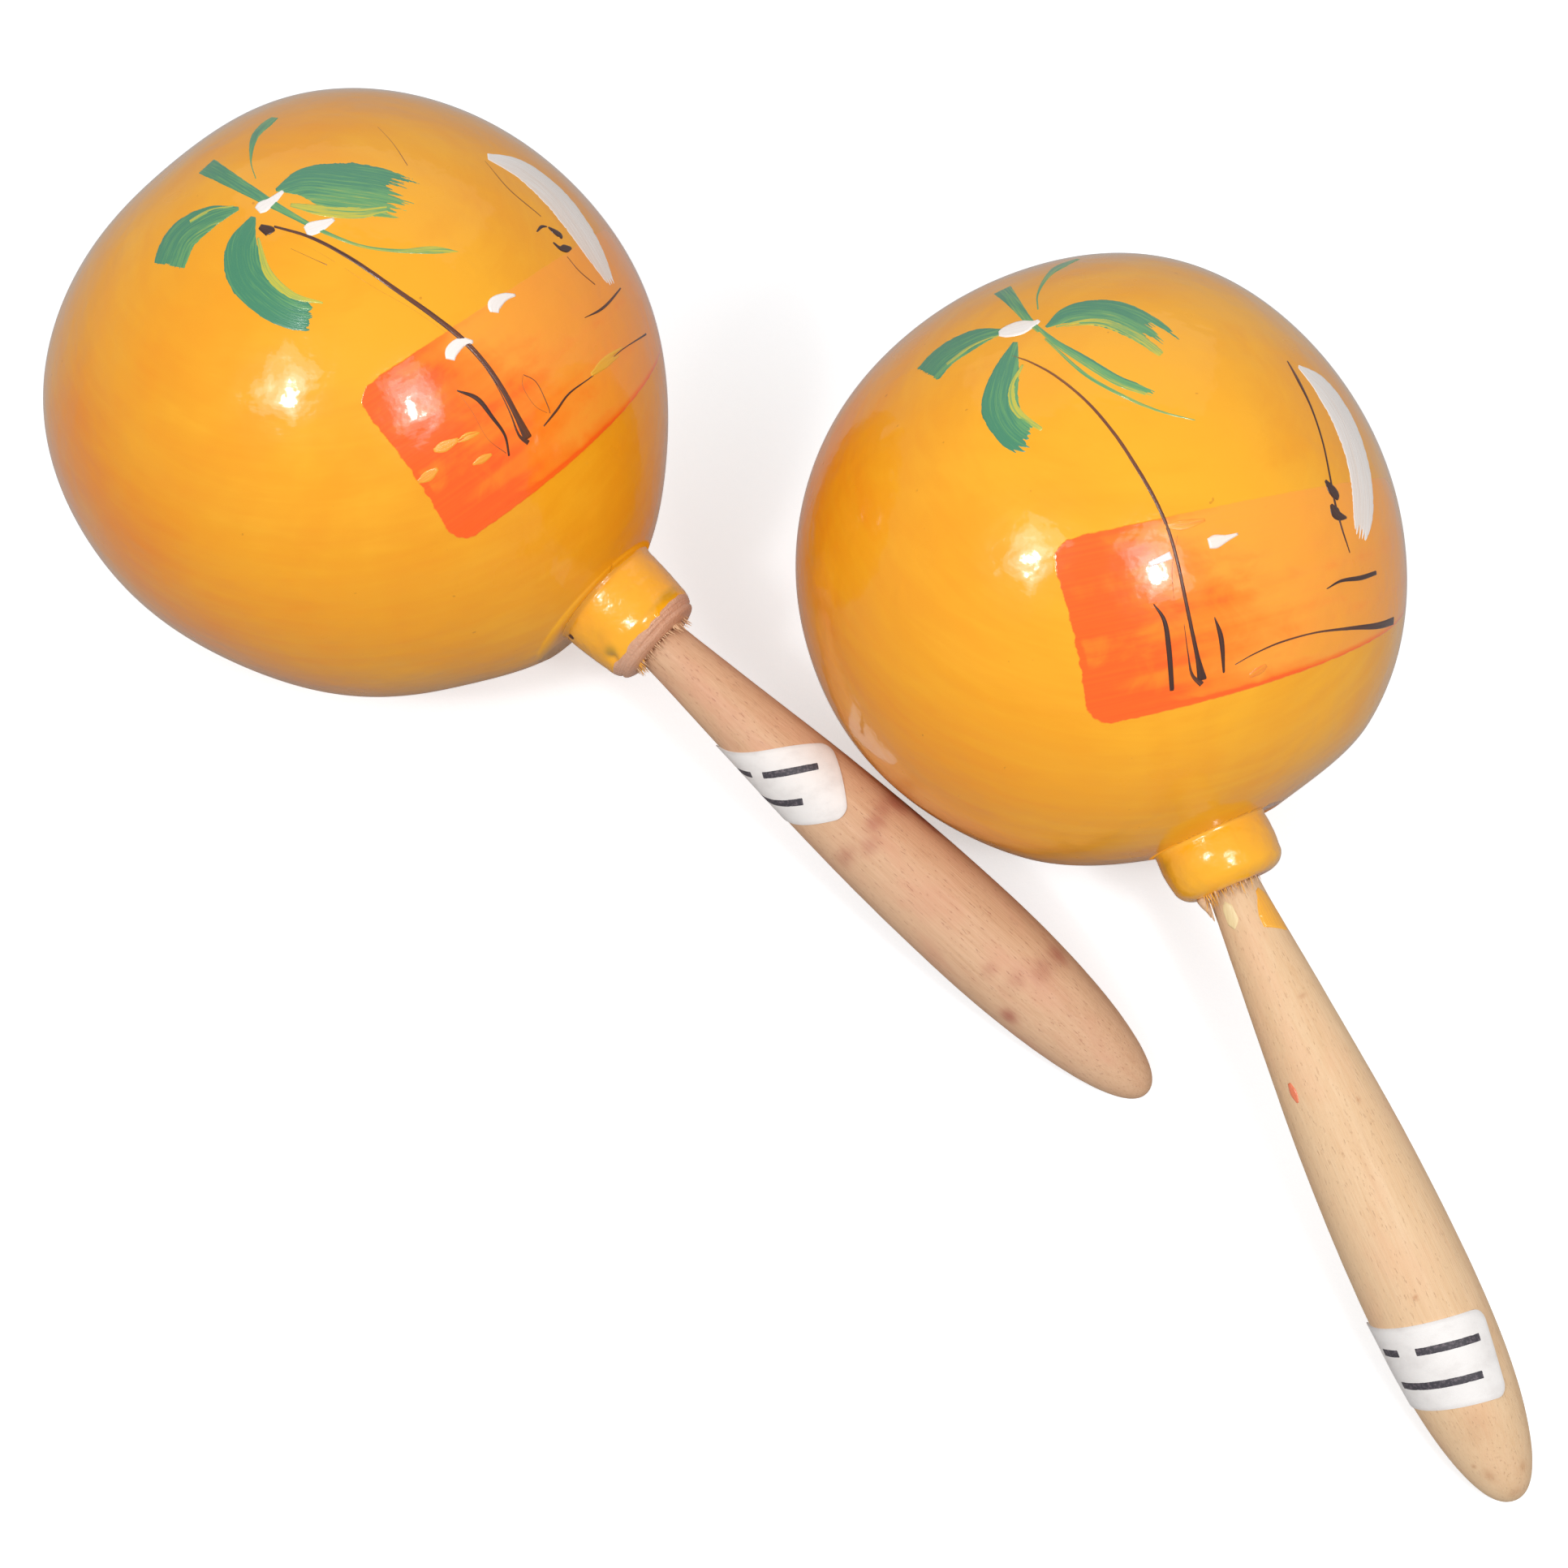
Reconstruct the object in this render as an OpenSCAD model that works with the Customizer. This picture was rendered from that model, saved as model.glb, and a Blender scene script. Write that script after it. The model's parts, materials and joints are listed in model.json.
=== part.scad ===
// A pair of painted gourd maracas, lying side by side on a flat surface.
// Each one is a hollow dried gourd with loose seeds inside, a turned collar plugged
// into the gourd's mouth, a turned handle whose tenon runs through the collar,
// two brads that pin the two, and a paper label glued round the handle.
// Each maraca has its own frame: x runs from the middle of the gourd to the tip of
// the handle, and z points up from the surface before the maraca tilts.

/* [Left maraca] */
// Radius of the left gourd round its waist
left_gourd_r = 61; // [50:0.5:74]
// Share by which the left gourd swells towards its neck
left_pear = 0.09; // [0:0.01:0.12]
// Share by which the left gourd is flat at its far end
left_flat = 0.03; // [0:0.005:0.06]
// Distance of the left handle's axis from the middle of its gourd
left_offset = 5.2; // [-8:0.1:8]
// Radius of the left collar where it meets the gourd
left_collar_r = 12.2; // [10.6:0.1:15]
// Radius of the left collar before its far end rounds over
left_collar_end_r = 10.3; // [9:0.1:13]
// Length of the left collar outside the gourd
left_collar_len = 15.8; // [8:0.1:22]
// Radius of the left collar's end face
left_rim_r = 7.4; // [6.6:0.1:8.8]
// Radius of the left handle at the collar
left_neck_r = 5.5; // [5.1:0.1:6.4]
// Largest radius of the left handle
left_belly_r = 10.6; // [8:0.1:14]
// Distance from the left collar to the thickest place of the handle
left_belly_at = 83; // [60:0.5:105]
// Distance from there to the tip of the left handle
left_tip_len = 49.8; // [30:0.5:60]

/* [Right maraca] */
// Radius of the right gourd round its waist
right_gourd_r = 59; // [50:0.5:72]
// Share by which the right gourd swells towards its neck
right_pear = 0.01; // [0:0.01:0.12]
// Share by which the right gourd is flat at its far end
right_flat = 0.015; // [0:0.005:0.06]
// Distance of the right handle's axis from the middle of its gourd
right_offset = -1.6; // [-8:0.1:8]
// Radius of the right collar where it meets the gourd
right_collar_r = 11.2; // [10.6:0.1:15]
// Radius of the right collar before its far end rounds over
right_collar_end_r = 10.7; // [9:0.1:13]
// Length of the right collar outside the gourd
right_collar_len = 11; // [8:0.1:22]
// Radius of the right collar's end face
right_rim_r = 7; // [6.6:0.1:8.8]
// Radius of the right handle at the collar
right_neck_r = 5.1; // [5.1:0.1:6.4]
// Largest radius of the right handle
right_belly_r = 10.9; // [8:0.1:14]
// Distance from the right collar to the thickest place of the handle
right_belly_at = 81; // [60:0.5:105]
// Distance from there to the tip of the right handle
right_tip_len = 42; // [30:0.5:60]

/* [Gourd shell] */
// Thickness of the gourd's wall
wall = 3.5; // [2:0.1:5]
// Extra thickness of the wall round the mouth
neck_wall = 5; // [2:0.1:7]

/* [Collar joint] */
// Width of the flat land of the gourd outside the collar
land = 0.5; // [0.2:0.1:1.5]
// Radius of the collar's spigot inside the gourd's mouth
spigot_r = 8.6; // [7.6:0.1:9.6]
// Length of the spigot
spigot_len = 9; // [6:0.5:12]
// Radius of the handle's tenon
tenon_r = 4.2; // [3.5:0.1:4.8]
// Depth of the tenon's end below the spigot's end
tenon_short = 1.5; // [0.5:0.1:4]
// Glue gap round the spigot and the tenon
glue_gap = 0.06; // [0.02:0.01:0.15]
// Radius of the small round on the collar's edge at the gourd
crease_round = 0.8; // [0.3:0.1:1.5]

/* [Brads] */
// Radius of a brad's shank
brad_r = 0.5; // [0.3:0.05:0.6]
// Radius of a brad's head
brad_head_r = 0.8; // [0.6:0.05:1.1]
// Thickness of a brad's head
brad_head_len = 0.4; // [0.2:0.05:0.8]
// Depth to which a brad enters the tenon
brad_bite = 1.2; // [0.5:0.1:1.6]
// Distance of the brads from the gourd
brad_at = 1.7; // [1.3:0.1:3]
// Angle between the two brads round the collar
brad_apart = 26; // [24:1:180]

/* [Labels] */
// Length of a label round the handle
label_w = 30; // [20:0.5:36]
// Width of a label along the handle
label_h = 16; // [10:0.5:22]
// Radius of a label's corners
label_corner = 2.5; // [0.5:0.5:4]
// Thickness of the paper
paper = 0.15; // [0.1:0.01:0.3]
// Layer of glue under the paper
label_gap = 0.08; // [0.06:0.01:0.2]
// Distance of the left label's middle from the collar
left_label_at = 36.4; // [26:0.1:60]
// Turn of the left label from straight round the handle
left_label_skew = -37; // [-45:1:45]
// Distance of the right label's middle from the collar
right_label_at = 94; // [26:0.1:100]
// Turn of the right label from straight round the handle
right_label_skew = -8; // [-45:1:45]
// Place of the left label round its handle, counted from the top
left_label_turn = 70; // [0:1:120]
// Place of the right label round its handle, counted from the top
right_label_turn = 52; // [0:1:120]

/* [Seeds] */
// Radius of a seed
seed_r = 2.8; // [1.5:0.1:4]
// Thickness of a seed as a share of its width
seed_flat = 0.82; // [0.5:0.01:1]
// Free space between a resting seed and the shell
seed_gap = 0.5; // [0.3:0.1:1]
// Free space between neighbouring seeds
seed_spread = 0.8; // [0.4:0.1:3]

/* [Layout] */
// Heading of the left handle on the surface, counted from +X
left_heading = -40.4; // [-60:0.1:-20]
// Heading of the right handle on the surface, counted from +X
right_heading = -66.1; // [-85:0.1:-50]
// Distance of the right gourd's middle from the left handle's tip, along that handle
tuck = 75; // [50:0.5:90]
// Free gap between the right gourd and the left handle under it
head_gap = 1.5; // [0.3:0.1:5]

/* [Hidden] */
SIDES = ["left", "right"];
SEEDS = 12;

LEFT = 0;
RIGHT = 1;
gourd_r = [left_gourd_r, right_gourd_r];
pear = [left_pear, right_pear];
flat = [left_flat, right_flat];
offset_y = [left_offset, right_offset];
collar_r = [left_collar_r, right_collar_r];
collar_end_r = [left_collar_end_r, right_collar_end_r];
collar_len = [left_collar_len, right_collar_len];
rim_r = [left_rim_r, right_rim_r];
neck_r = [left_neck_r, right_neck_r];
belly_r = [left_belly_r, right_belly_r];
belly_at = [left_belly_at, right_belly_at];
tip_len = [left_tip_len, right_tip_len];
label_at = [left_label_at, right_label_at];
label_skew = [left_label_skew, right_label_skew];
label_turn = [left_label_turn, right_label_turn];
heading = [left_heading, right_heading];
// Brads sit at the visible side of the left collar and under the right one
brad_turn = [63, 160];

// The swelling at the neck, the flat far end and the thick mouth fade over these angles
PEAR_ANGLE = 28;
FLAT_ANGLE = 30;
NECK_ANGLE = 17;
GOURD_STEP = 5;
// Bow of the collar's side, as a share of its radius
COLLAR_BOW = 0.035;
// Share of the collar's length over which its far end rounds
COLLAR_ROUND = 0.3;
// Powers of the handle's swelling and of its rounded end, where 1 and 2 are a sine and an ellipse
SWELL_POWER = 1.1;
TIP_POWER = 2.2;
// Play of a brad in its own hole, overlap of joined solids, and how far a cut runs past a face
BRAD_PLAY = 0.02;
JOINED = 0.1;
PAST = 2;
FINE = 96;

// ---- Profiles: lists of [distance along the axis, radius] ----

// Radius of a gourd at an angle from its neck
function gourd_at(i, angle) = gourd_r[i] * (
    1 + pear[i] * exp(-pow(angle / PEAR_ANGLE, 2)) - flat[i] * exp(-pow((180 - angle) / FLAT_ANGLE, 2)));

// Radius of the hollow inside a gourd at an angle from its neck
function hollow_at(i, angle) = gourd_at(i, angle) - wall - neck_wall * exp(-pow(angle / NECK_ANGLE, 2));

function gourd_points(i) =
    [for (a = [0:GOURD_STEP:180]) gourd_at(i, a) * [cos(a), sin(a)]];

function hollow_points(i) =
    [for (a = [0:GOURD_STEP:180]) hollow_at(i, a) * [cos(a), sin(a)]];

// Angle from the neck at which a gourd is as wide as a radius, by halving the interval
function angle_of_radius(i, radius, low = 1, high = 60, turns = 24) =
    let (mid = (low + high) / 2)
    turns == 0 ? mid
    : gourd_at(i, mid) * sin(mid) < radius ? angle_of_radius(i, radius, mid, high, turns - 1)
    : angle_of_radius(i, radius, low, mid, turns - 1);

// The gourd's axis leans so that it crosses the handle's axis in the middle of the mouth
mouth_r = [for (i = [LEFT, RIGHT]) collar_r[i] + land];
mouth_angle = [for (i = [LEFT, RIGHT]) angle_of_radius(i, mouth_r[i])];
mouth_far = [for (i = [LEFT, RIGHT]) gourd_at(i, mouth_angle[i]) * cos(mouth_angle[i])];
lean = [for (i = [LEFT, RIGHT]) asin(offset_y[i] / mouth_far[i])];
// The land is cut square to the handle, deep enough to be whole on the low side
mouth_x = [for (i = [LEFT, RIGHT]) mouth_far[i] * cos(lean[i]) - mouth_r[i] * sin(abs(lean[i]))];
collar_x = mouth_x + collar_len;
belly_x = collar_x + belly_at;
tip_x = belly_x + tip_len;

// Radius of a collar's side at a share of its length, without the rounded ends
function collar_side(i, share) =
    (collar_r[i] + (collar_end_r[i] - collar_r[i]) * share) * (1 + COLLAR_BOW * sin(180 * share));

function collar_points(i) =
    let (round_from = 1 - COLLAR_ROUND, last = collar_side(i, round_from))
    concat(
        [for (a = [0:30:60]) [mouth_x[i] + crease_round * (1 - cos(a)),
            collar_side(i, 0) - crease_round * (1 - sin(a))]],
        [for (t = [0.12:0.08:round_from]) [mouth_x[i] + t * collar_len[i], collar_side(i, t)]],
        [for (a = [0:15:90]) [mouth_x[i] + collar_len[i] * (round_from + COLLAR_ROUND * sin(a)),
            rim_r[i] + (last - rim_r[i]) * cos(a)]]
    );

function handle_points(i) = concat(
    [for (t = [0:0.05:1]) [collar_x[i] + belly_at[i] * t,
        neck_r[i] + (belly_r[i] - neck_r[i]) * sin(90 * pow(t, SWELL_POWER))]],
    [for (a = [6:6:90]) [belly_x[i] + tip_len[i] * sin(a),
        belly_r[i] * pow(1 - pow(sin(a), TIP_POWER), 1 / TIP_POWER)]]
);

// Radius of a handle at a distance from the middle of its gourd
function handle_at(i, x) = lookup(x, handle_points(i));

// ---- How each maraca lies ----

// How far a turned profile reaches in a direction, whose cosine to the axis is given
function reach(points, along) =
    let (across = sqrt(1 - along * along))
    max([for (p = points) p[0] * along + p[1] * across]);

function gourd_depth(i, tilt) = reach(gourd_points(i), sin(tilt) * cos(lean[i]));
function handle_depth(i, tilt) = reach(handle_points(i), sin(tilt));

// The tilt at which gourd and handle reach the surface together
function resting_tilt(i, low = 2, high = 45, turns = 30) =
    let (mid = (low + high) / 2)
    turns == 0 ? mid
    : handle_depth(i, mid) < gourd_depth(i, mid) ? resting_tilt(i, mid, high, turns - 1)
    : resting_tilt(i, low, mid, turns - 1);

tilt = [for (i = [LEFT, RIGHT]) resting_tilt(i)];
height = [for (i = [LEFT, RIGHT]) gourd_depth(i, tilt[i])];

// Directions of a maraca's own x and y on the surface
function ahead(i) = [cos(heading[i]), sin(heading[i])];
function aside(i) = [-sin(heading[i]), cos(heading[i])];

// The right gourd leans over the left handle and clears it by head_gap
crossing_x = tip_x[LEFT] - tuck;
rise = height[RIGHT] - height[LEFT];
crossing_up = crossing_x * sin(tilt[LEFT]) + rise * cos(tilt[LEFT]);
crossing_far = gourd_r[RIGHT] + handle_at(LEFT, crossing_x * cos(tilt[LEFT])) + head_gap;
crossing_side = sqrt(pow(crossing_far, 2) - pow(crossing_up, 2));
right_from_left = crossing_x * ahead(LEFT) + (offset_y[LEFT] + crossing_side) * aside(LEFT);

// Reach of a maraca on the surface from the middle of its gourd, along +X, +Y, -X or -Y
function gourd_axis(i) = ahead(i) * cos(lean[i]) * cos(tilt[i]) + aside(i) * sin(lean[i]);
function reach_of(i, way) = max(
    reach(gourd_points(i), gourd_axis(i) * way),
    reach(handle_points(i), cos(tilt[i]) * ahead(i) * way) + offset_y[i] * aside(i) * way
);
function reach_of_pair(way) = max(reach_of(LEFT, way), right_from_left * way + reach_of(RIGHT, way));
middle = [
    (reach_of_pair([1, 0]) - reach_of_pair([-1, 0])) / 2,
    (reach_of_pair([0, 1]) - reach_of_pair([0, -1])) / 2
];
gourd_middle = [-middle, right_from_left - middle];

// Puts children that stand along a maraca's own axes where that maraca lies
module lying(i) {
    translate([gourd_middle[i][0], gourd_middle[i][1], height[i]])
        rotate([0, 0, heading[i]])
            rotate([0, tilt[i], 0])
                children();
}

// Turns children from along z to along the handle's axis
module along_handle(i) {
    translate([0, offset_y[i], 0])
        rotate([0, 90, 0])
            children();
}

// ---- Pieces ----

module turned(points) {
    rotate_extrude($fn = FINE)
        polygon([for (p = points) [p[1], p[0]]]);
}

module gourd_body(i) {
    rotate([0, 0, lean[i]])
        rotate([0, 90, 0])
            difference() {
                turned(gourd_points(i));
                turned(hollow_points(i));
            }
}

module gourd(i) {
    beyond = 30;
    color([0.93, 0.72, 0.2])
        lying(i)
            difference() {
                gourd_body(i);
                along_handle(i) {
                    translate([0, 0, mouth_x[i]])
                        cylinder(r = 2 * collar_r[i], h = beyond, $fn = FINE);
                    translate([0, 0, mouth_x[i] - beyond])
                        cylinder(r = spigot_r + glue_gap, h = beyond + PAST, $fn = FINE);
                }
            }
}

// A brad that points at the handle's axis, grown by a gap to cut its own hole
module brad(i, turn, gap = 0, proud = 0) {
    head_from = collar_side(i, brad_at / collar_len[i]) - brad_head_len;
    point_at = tenon_r - brad_bite;
    translate([mouth_x[i] + brad_at, offset_y[i], 0])
        rotate([turn, 0, 0]) {
            translate([0, 0, point_at])
                cylinder(r = brad_r + gap, h = head_from - point_at + JOINED, $fn = FINE);
            translate([0, 0, head_from])
                cylinder(r = brad_head_r + gap, h = brad_head_len + proud, $fn = FINE);
        }
}

function brad_turns(i) = [for (side = [-0.5, 0.5]) brad_turn[i] + brad_apart / 2 + side * brad_apart];

module brad_holes(i) {
    for (turn = brad_turns(i))
        brad(i, turn, gap = BRAD_PLAY, proud = PAST);
}

module collar(i) {
    color([0.86, 0.56, 0.2])
        lying(i)
            difference() {
                along_handle(i)
                    difference() {
                        turned(concat(
                            [[mouth_x[i] - spigot_len, 0], [mouth_x[i] - spigot_len, spigot_r],
                                [mouth_x[i], spigot_r]],
                            collar_points(i),
                            [[collar_x[i], 0]]
                        ));
                        translate([0, 0, mouth_x[i] - spigot_len - PAST])
                            cylinder(r = tenon_r + glue_gap, h = spigot_len + collar_len[i] + 2 * PAST, $fn = FINE);
                    }
                brad_holes(i);
            }
}

module handle(i) {
    tenon_from = mouth_x[i] - spigot_len + tenon_short;
    color(i == LEFT ? [0.72, 0.5, 0.3] : [0.85, 0.72, 0.52])
        lying(i)
            difference() {
                along_handle(i)
                    turned(concat(
                        [[tenon_from, 0], [tenon_from, tenon_r], [collar_x[i], tenon_r]],
                        handle_points(i)
                    ));
                brad_holes(i);
            }
}

module brads(i) {
    color([0.3, 0.26, 0.22])
        lying(i)
            for (turn = brad_turns(i))
                brad(i, turn);
}

// A point of a label, from its place on the flat paper and its height over the wood
function label_point(i, across, down, lift) =
    let (
        x = collar_x[i] + label_at[i] + down * cos(label_skew[i]) + across * sin(label_skew[i]),
        wood = handle_at(i, x),
        round_mm = across * cos(label_skew[i]) - down * sin(label_skew[i]),
        turn = label_turn[i] + round_mm / handle_at(i, collar_x[i] + label_at[i]) * 180 / PI,
        r = wood + label_gap + lift
    )
    [x, offset_y[i] - r * sin(turn), r * cos(turn)];

module label(i) {
    rows = 12;
    columns = 24;
    // rows crowd towards both edges, where the corners round
    down = [for (n = [0:rows]) label_h / 2 * sin(90 * (2 * n / rows - 1))];
    half = [for (d = down) let (past = max(0, abs(d) - label_h / 2 + label_corner))
        label_w / 2 - label_corner + sqrt(pow(label_corner, 2) - pow(past, 2))];
    points = [for (lift = [0, paper], n = [0:rows], m = [0:columns])
        label_point(i, half[n] * (2 * m / columns - 1), down[n], lift)];
    wide = columns + 1;
    layer = wide * (rows + 1);
    function at(n, m, top) = top * layer + n * wide + m;
    function sheet(top) = [for (n = [0:rows - 1], m = [0:columns - 1], half = [0, 1])
        let (a = at(n, m, top), b = at(n, m + 1, top), c = at(n + 1, m + 1, top), d = at(n + 1, m, top))
        half == 0 ? (top == 1 ? [a, b, c] : [a, c, b]) : (top == 1 ? [a, c, d] : [a, d, c])];
    rim = concat(
        [for (m = [0:columns]) at(0, m, 0)],
        [for (n = [1:rows]) at(n, columns, 0)],
        [for (m = [columns - 1:-1:0]) at(rows, m, 0)],
        [for (n = [rows - 1:-1:1]) at(n, 0, 0)]
    );
    edge = [for (k = [0:len(rim) - 1], half = [0, 1])
        let (a = rim[k], b = rim[(k + 1) % len(rim)])
        half == 0 ? [a, b, b + layer] : [a, b + layer, a + layer]];
    color([0.93, 0.92, 0.88])
        lying(i)
            polyhedron(points, concat(sheet(0), sheet(1), edge));
}

// ---- Seeds ----

// The gourd's axis in the pair's frame
function gourd_axis_3d(i) = [gourd_axis(i)[0], gourd_axis(i)[1], -cos(lean[i]) * sin(tilt[i])];

// Seeds lie on a spiral whose turns keep neighbours apart by seed_spread
SPIRAL_TURN = 137.508;
SPIRAL_NEAREST = 1.54;
SPIRAL_START = 0.3;
seed_pitch = (2 * seed_r + seed_spread) / SPIRAL_NEAREST;
function seed_xy(k) = seed_pitch * sqrt(k + SPIRAL_START) * [cos(SPIRAL_TURN * k), sin(SPIRAL_TURN * k)];

// Height of a seed against the floor (up = -1) or the roof (up = 1) of the hollow
function seed_z(i, k, up, z = 0, turns = 8) =
    let (
        xy = seed_xy(k),
        p = [xy[0], xy[1], turns == 8 ? up * gourd_r[i] : z],
        angle = acos(p * gourd_axis_3d(i) / norm(p)),
        room = hollow_at(i, angle) - seed_r - seed_gap,
        found = up * sqrt(pow(room, 2) - pow(norm(xy), 2))
    )
    turns == 0 ? found : seed_z(i, k, up, found, turns - 1);

module seed(i, k) {
    xy = seed_xy(k);
    color([0.25, 0.16, 0.1])
        translate([gourd_middle[i][0] + xy[0], gourd_middle[i][1] + xy[1], height[i] + seed_z(i, k, -1)])
            turned([for (a = [0:10:180]) seed_r * [seed_flat * cos(a), sin(a)]]);
}

gourd(LEFT);  // left_gourd
gourd(RIGHT);  // right_gourd
collar(LEFT);  // left_collar
collar(RIGHT);  // right_collar
handle(LEFT);  // left_handle
handle(RIGHT);  // right_handle
brads(LEFT);  // left_brads
brads(RIGHT);  // right_brads
label(LEFT);  // left_label
label(RIGHT);  // right_label
for (i = [LEFT, RIGHT], k = [0:SEEDS - 1])
    seed(i, k);
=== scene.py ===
"""The looks of a pair of painted gourd maracas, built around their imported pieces.

Each maraca is a lacquered gourd with a palm, a sea and a sail painted on it, a collar,
a turned handle with a paper label, two brads and a dozen loose seeds. Sizes are in
millimetres in the maraca's own frame: x runs along the handle from the middle of the
gourd, z points up from the surface it lies on, and y is level.
"""

import sys

import json
import logging
import math
from dataclasses import dataclass, field, replace
from enum import Enum

import bpy
import numpy as np
from numpy.typing import NDArray
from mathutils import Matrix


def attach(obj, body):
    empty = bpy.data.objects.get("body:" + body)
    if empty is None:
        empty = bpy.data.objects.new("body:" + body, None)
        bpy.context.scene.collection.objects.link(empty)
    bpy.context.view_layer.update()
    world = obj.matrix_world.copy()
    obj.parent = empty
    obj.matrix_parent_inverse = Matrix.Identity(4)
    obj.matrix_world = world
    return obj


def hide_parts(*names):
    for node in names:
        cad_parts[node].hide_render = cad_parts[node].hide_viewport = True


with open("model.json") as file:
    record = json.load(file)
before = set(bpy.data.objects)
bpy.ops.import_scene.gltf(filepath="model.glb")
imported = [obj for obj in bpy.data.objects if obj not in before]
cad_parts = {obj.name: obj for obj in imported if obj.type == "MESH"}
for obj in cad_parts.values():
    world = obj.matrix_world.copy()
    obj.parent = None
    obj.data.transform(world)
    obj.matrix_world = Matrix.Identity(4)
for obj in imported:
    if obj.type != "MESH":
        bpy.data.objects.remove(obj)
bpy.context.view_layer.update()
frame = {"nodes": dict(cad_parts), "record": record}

Numbers = NDArray[np.float64]
Colour = tuple[float, float, float]
MM = 0.001

# Knots of a line that is taken as it is; a longer one is calmed.
FEW_KNOTS = 6

# A brush stroke's film, in mm: the steps of its mesh, its least width, how fast its
# sides and tips thin out, and how far its bare places dip under the surface.
ROW_STEP = 0.3
COLUMN_STEP = 0.17
LEAST_WIDTH = 0.12
SIDE_FADE = 0.22
TIP_FADE = 0.25
DIP = 0.05

# Degrees from the middle of a painted face to just inside its edge.
LIMB = 83.0

# Steps that close in on where a gourd's mouth lies, and its rings on the surfaces.
HALVINGS = 40
SLIDES = 30

# How far the grip is back from a handle's belly, and the tenon in from the mouth, in mm.
GRIP_BACK = 12.0
TENON_IN = 7.5

# How far the left handle's axis passes the middle of its gourd, in mm.
LEFT_OFFSET = 5.2

log = logging.getLogger("maracas")


class Side(Enum):
    """The two maracas."""

    LEFT = "left"
    RIGHT = "right"


class Ends(Enum):
    """How the rings of a skin end: closed with a pole, or joined into a loop."""

    POLES = "poles"
    JOINED = "joined"


class Paint(Enum):
    """Paints of the brush strokes, named as the record's slots."""

    LEAF = "leaf_paint"
    TRUNK = "trunk_paint"
    WHITE = "white_paint"
    SEA = "sea_paint"


# ---- Numbers ----


def ease(share: Numbers) -> Numbers:
    """S-curve from 0 to 1: three squares less two cubes of the clipped share."""
    t = np.clip(share, 0.0, 1.0)
    return t * t * (3.0 - 2.0 * t)


def unit(vector: Numbers) -> Numbers:
    """Vectors divided by their lengths."""
    return vector / np.linalg.norm(vector, axis=-1, keepdims=True)


def bell(far: Numbers, aside: Numbers | float = 0.0) -> Numbers:
    """A bell curve: the exponential of minus the squares of the ways from its middle."""
    return np.exp(-(far**2) - aside**2)


def apart(ways: Numbers, way: Numbers) -> Numbers:
    """Degrees between unit vectors: the arc cosine of their products."""
    return np.degrees(np.arccos(np.clip(ways @ way, -1, 1)))


def turned(x: Numbers, r: Numbers, turn: Numbers, offset: float = 0.0) -> Numbers:
    """Places round an axis: x along it, r from it, and degrees from the top towards -y."""
    a = np.radians(turn)
    return np.stack(np.broadcast_arrays(x, offset - r * np.sin(a), r * np.cos(a)), axis=-1)


def dice(i: Numbers, j: Numbers, seed: float) -> Numbers:
    """A fixed number from 0 to 1 at whole places: the fraction of a large multiple of a sine."""
    return np.abs(np.sin(i * 127.1 + j * 311.7 + seed * 74.7) * 43758.5453) % 1.0


def patchy(u: Numbers, v: Numbers, seed: float) -> Numbers:
    """Smooth noise from 0 to 1.

    The dice of the four nearest whole places are mixed with an S-curve each way.

    Args:
        u: First coordinate, one unit a patch.
        v: Second coordinate.
        seed: Which noise.

    Returns:
        The noise at each place.
    """
    i, j = np.floor(u), np.floor(v)
    a, b = ease(u - i), ease(v - j)
    low = dice(i, j, seed) * (1 - a) + dice(i + 1, j, seed) * a
    high = dice(i, j + 1, seed) * (1 - a) + dice(i + 1, j + 1, seed) * a
    return low * (1 - b) + high * b


def smooth_path(knots: Numbers, count: int) -> Numbers:
    """A smooth line through knots.

    Between two knots the line is the cubic whose slope at each knot is half the step
    between that knot's neighbours. A line of many knots is first calmed: each knot goes
    half of the way to the middle of its neighbours.

    Args:
        knots: Knots, one a row.
        count: Number of places wanted, evenly spaced along the knots.

    Returns:
        The places, one a row.
    """
    if len(knots) > FEW_KNOTS:
        calm = knots.copy()
        calm[1:-1, :2] += 0.5 * ((knots[:-2, :2] + knots[2:, :2]) / 2 - knots[1:-1, :2])
        knots = calm
    wide = np.vstack([2 * knots[0] - knots[1], knots, 2 * knots[-1] - knots[-2]])
    t = np.linspace(0.0, len(knots) - 1.0, count)
    i = np.minimum(t.astype(int), len(knots) - 2)
    t = (t - i)[:, None]
    a, b, c, d = wide[i], wide[i + 1], wide[i + 2], wide[i + 3]
    first = (c - a) * t
    second = (2 * a - 5 * b + 4 * c - d) * t**2
    third = (3 * b - a - 3 * c + d) * t**3
    return 0.5 * (2 * b + first + second + third)


# ---- Meshes ----


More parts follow.
